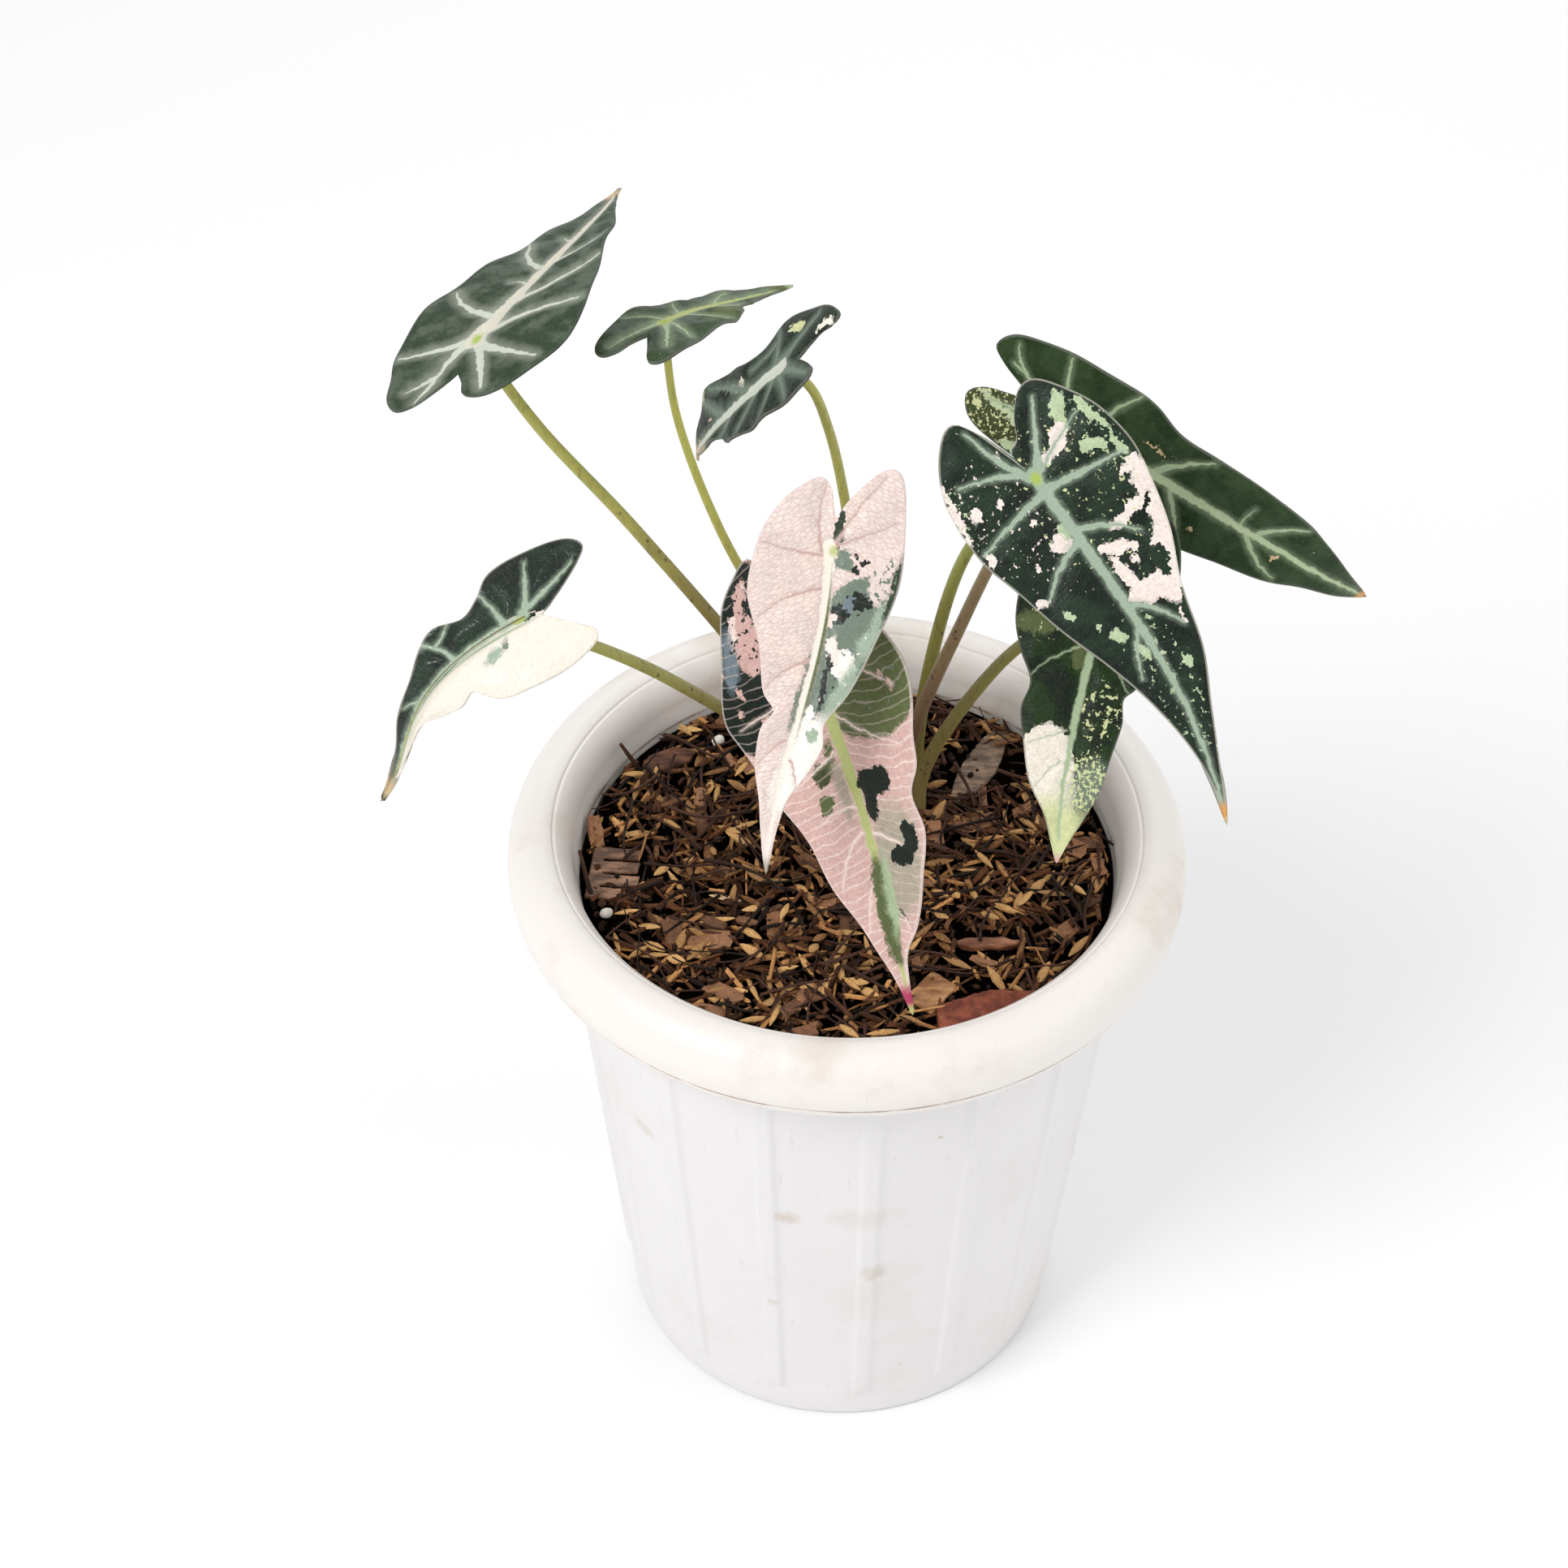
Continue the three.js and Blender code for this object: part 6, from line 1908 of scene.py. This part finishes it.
    def build(self) -> None:
        """Makes the mix in place of its CAD node."""
        draw = random.Random(self.seed)
        mesh = self.ground()
        mesh.loops.layers.uv.new("draw")
        self.strew(mesh, Litter.CRUMB, self.spots(self.crumbs, draw, low=True), draw, self.crumb)
        self.strew(mesh, Litter.SLIVER, self.spots(self.slivers, draw), draw, self.sliver)
        self.strew(mesh, Litter.SHRED, self.spots(self.shreds, draw), draw, self.sliver)
        self.strew(mesh, Litter.BARK, self.spots(self.chips, draw), draw, self.chip)
        self.strew(mesh, Litter.HUSK, self.spots(self.husks, draw), draw, self.husk)
        self.strew(mesh, Litter.GRAIN, self.grains, draw, self.husk)
        self.strew(mesh, Litter.TWIG, self.spots(self.twigs, draw), draw, self.twig)
        for foot, tip in self.standing:
            route = Route.bezier([foot, foot, tip, tip], 8)
            part = tube_mesh(route, lambda share: 0.75 - 0.3 * share, 7, 8, "draw")
            for face in part.faces:
                face.material_index = list(Litter).index(Litter.TWIG)
            add_mesh(mesh, part)
        materials = [self.material(kind) for kind in Litter]
        finish_piece("potting_mix_strewn", mesh, materials, ["soil"], smooth_faces=False)


@dataclass(frozen=True)
class LooseFinish:
    """A loose piece's tones, gloss and grain."""

    dark: Rgb
    pale: Rgb
    roughness: float
    grain: float
    stretch: float = 1.0
    spots: Rgb = (60, 46, 38)


@dataclass(frozen=True)
class LoosePiece:
    """A piece that lies on the mix: its CAD node, finish, edge rounding, lumps and curl in millimetres."""

    node: str
    slot: str
    finish: LooseFinish
    turn: float = 0.0
    rounding: float = 0.5
    lumps: float = 0.25
    curl: float = 0.0
    longest_edge: float = 1.1
    most_faces: int = 9000

    def mesh(self) -> Mesh:
        """A finer copy of the CAD node, with worn edges and an uneven face."""
        mesh = bmesh.new()
        mesh.from_mesh(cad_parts[self.node].data)
        bmesh.ops.remove_doubles(mesh, verts=mesh.verts, dist=1e-5)
        bmesh.ops.dissolve_limit(mesh, angle_limit=0.02, verts=mesh.verts, edges=mesh.edges)
        bmesh.ops.bevel(mesh, geom=mesh.edges[:], offset=self.rounding * MM, offset_type="OFFSET",
                        segments=2, profile=0.5, affect="EDGES", material=-1, clamp_overlap=True)
        bmesh.ops.triangulate(mesh, faces=mesh.faces)
        for _ in range(6):
            long = [edge for edge in mesh.edges if edge.calc_length() > self.longest_edge * MM]
            if not long or len(mesh.faces) > self.most_faces:
                break
            bmesh.ops.subdivide_edges(mesh, edges=long, cuts=1, use_grid_fill=False)
            bmesh.ops.triangulate(mesh, faces=mesh.faces)
        middle = sum((vertex.co for vertex in mesh.verts), Vector()) / len(mesh.verts)
        lowest = min(vertex.co.z for vertex in mesh.verts)
        along = Vector((math.cos(math.radians(self.turn)), math.sin(math.radians(self.turn)), 0))
        mesh.normal_update()
        for vertex in mesh.verts:
            bump = noise.fractal(vertex.co * 420, 0.9, 2.0, 4)
            vertex.co += vertex.normal * bump * self.lumps * MM
            away = (vertex.co - middle).dot(along) / MM
            vertex.co.z += self.curl * (away / 10) ** 2 * MM
            vertex.co.z = max(vertex.co.z, lowest)
        return mesh

    def material(self) -> Material:
        """Two tones in a grain that runs along the piece, with dark flecks."""
        look = self.finish
        material, make = new_material(f"{self.node}_surface")
        place = make.stretch(make.place(), (look.stretch, 1.0, 1.0), -math.radians(self.turn))
        grain = make.noise(place, look.grain, 5, 0.62)
        cloud = make.noise(make.place(), 130.0, 3)
        share = make.ramp(make.plus(grain, make.times(cloud, 0.5)), 0.6, 0.95)
        colour = make.mix(share, paint(look.dark), paint(look.pale))
        flecks = make.ramp(make.noise(make.place(), 900.0, 3, 0.7), 0.62, 0.7, 0.0, 0.55)
        colour = make.mix(flecks, colour, paint(look.spots))
        make.surface(colour, look.roughness, make.bump(grain, 0.0005, 0.6))
        return material

    def build(self) -> None:
        """Makes the piece in place of its CAD node."""
        finish_piece(f"{self.node}_worn", self.mesh(), [self.material()], [self.node])


PERLITE = LooseFinish((214, 208, 198), (246, 242, 236), 0.8, 800.0, spots=(170, 160, 148))
TERRACOTTA = LooseFinish((98, 44, 28), (150, 78, 54), 0.85, 300.0, spots=(178, 118, 88))

LOOSE_PIECES = (
    LoosePiece("terracotta_shard", "terracotta", TERRACOTTA, lumps=0.3),
    LoosePiece("tan_chip", "tan_bark", LooseFinish((128, 84, 48), (196, 146, 98), 0.7, 420.0, 0.3), 58),
    LoosePiece("wood_stick", "red_wood", LooseFinish((104, 58, 36), (176, 118, 82), 0.65, 620.0, 0.2), 1),
    LoosePiece("dry_frond", "dry_leaf", LooseFinish((86, 58, 42), (164, 124, 96), 0.6, 640.0, 0.25),
               -4, rounding=0.25, lumps=0.2, curl=0.6),
    LoosePiece("bark_slab", "brown_bark", LooseFinish((64, 38, 25), (128, 84, 58), 0.8, 420.0, 0.3), 24),
    LoosePiece("dry_leaf", "dry_leaf", LooseFinish((80, 62, 46), (150, 122, 98), 0.6, 520.0, 0.3),
               65, rounding=0.25, lumps=0.3, curl=0.5),
    LoosePiece("perlite_left", "perlite", PERLITE, rounding=0.4),
    LoosePiece("perlite_back", "perlite", PERLITE, rounding=0.4),
)


@dataclass(frozen=True)
class SoftLight:
    """A square soft light: its place and side in metres, and its power in watts."""

    name: str
    place: Point
    size: float
    power: float


@dataclass
class Studio:
    """A pale floor, soft light and the camera, in metres."""

    floor_size: float = 3.0
    camera_place: Point = (-0.0156, -0.5787, 0.7164)
    camera_down: float = math.radians(42.95)
    camera_roll: float = 0.0017
    lens: float = 74.53
    sensor: float = 36.0
    sky: float = 0.68
    lights: tuple[SoftLight, ...] = (
        SoftLight("key_light", (-0.85, -0.75, 1.3), 0.7, 12.5),
        SoftLight("fill_light", (1.05, -0.35, 0.9), 1.2, 4.0),
        SoftLight("back_light", (0.2, 1.1, 1.1), 1.0, 4.0),
    )
    lit_point: Point = (0, 0, 0.18)

    def build(self) -> None:
        """Sets the floor, the lights, the sky and the camera."""
        self.lay_floor()
        for light in self.lights:
            self.add_light(light)
        self.light_sky()
        self.place_camera()
        bpy.context.scene.view_settings.view_transform = "Standard"

    def lay_floor(self) -> None:
        """A plain pale floor under the pot."""
        mesh = bmesh.new()
        bmesh.ops.create_grid(mesh, x_segments=1, y_segments=1, size=self.floor_size / 2)
        data = bpy.data.meshes.new("floor")
        mesh.to_mesh(data)
        mesh.free()
        material, make = new_material("floor_pale")
        make.surface(paint((244, 244, 244)), 0.9)
        data.materials.append(material)
        floor = bpy.data.objects.new("floor", data)
        bpy.context.scene.collection.objects.link(floor)

    def add_light(self, given: SoftLight) -> None:
        """Sets a light that looks at the plant."""
        data = bpy.data.lights.new(given.name, "AREA")
        data.shape = "SQUARE"
        data.size = given.size
        data.energy = given.power
        light = bpy.data.objects.new(given.name, data)
        way = Vector(self.lit_point) - Vector(given.place)
        turn = way.to_track_quat("-Z", "Y").to_matrix().to_4x4()
        light.matrix_world = Matrix.Translation(given.place) @ turn
        bpy.context.scene.collection.objects.link(light)

    def light_sky(self) -> None:
        """A plain pale sky."""
        world = bpy.data.worlds.new("studio")
        world.use_nodes = True
        world.node_tree.nodes["Background"].inputs["Color"].default_value = (1, 1, 1, 1)
        world.node_tree.nodes["Background"].inputs["Strength"].default_value = self.sky
        bpy.context.scene.world = world

    def place_camera(self) -> None:
        """The photograph's view."""
        data = bpy.data.cameras.new("camera")
        data.lens = self.lens
        data.sensor_width = self.sensor
        camera = bpy.data.objects.new("camera", data)
        pitch = Matrix.Rotation(math.pi / 2 - self.camera_down, 4, "X")
        roll = Matrix.Rotation(self.camera_roll, 4, "Z")
        camera.matrix_world = Matrix.Translation(self.camera_place) @ (pitch @ roll)
        bpy.context.scene.collection.objects.link(camera)
        bpy.context.scene.camera = camera


def main() -> None:
    """Builds the pot, the mix, what lies on it, the leaves and the studio."""
    logging.basicConfig(level=logging.INFO, format="%(asctime)s %(message)s")
    pot = Pot()
    pot.build()
    Mix(pot).build()
    for piece in LOOSE_PIECES:
        piece.build()
    effects = LeafEffects()
    for form in FORMS:
        Leaf(form, FINISHES[form.node], effects).build()
    Studio().build()


if __name__ == "__main__":
    main()
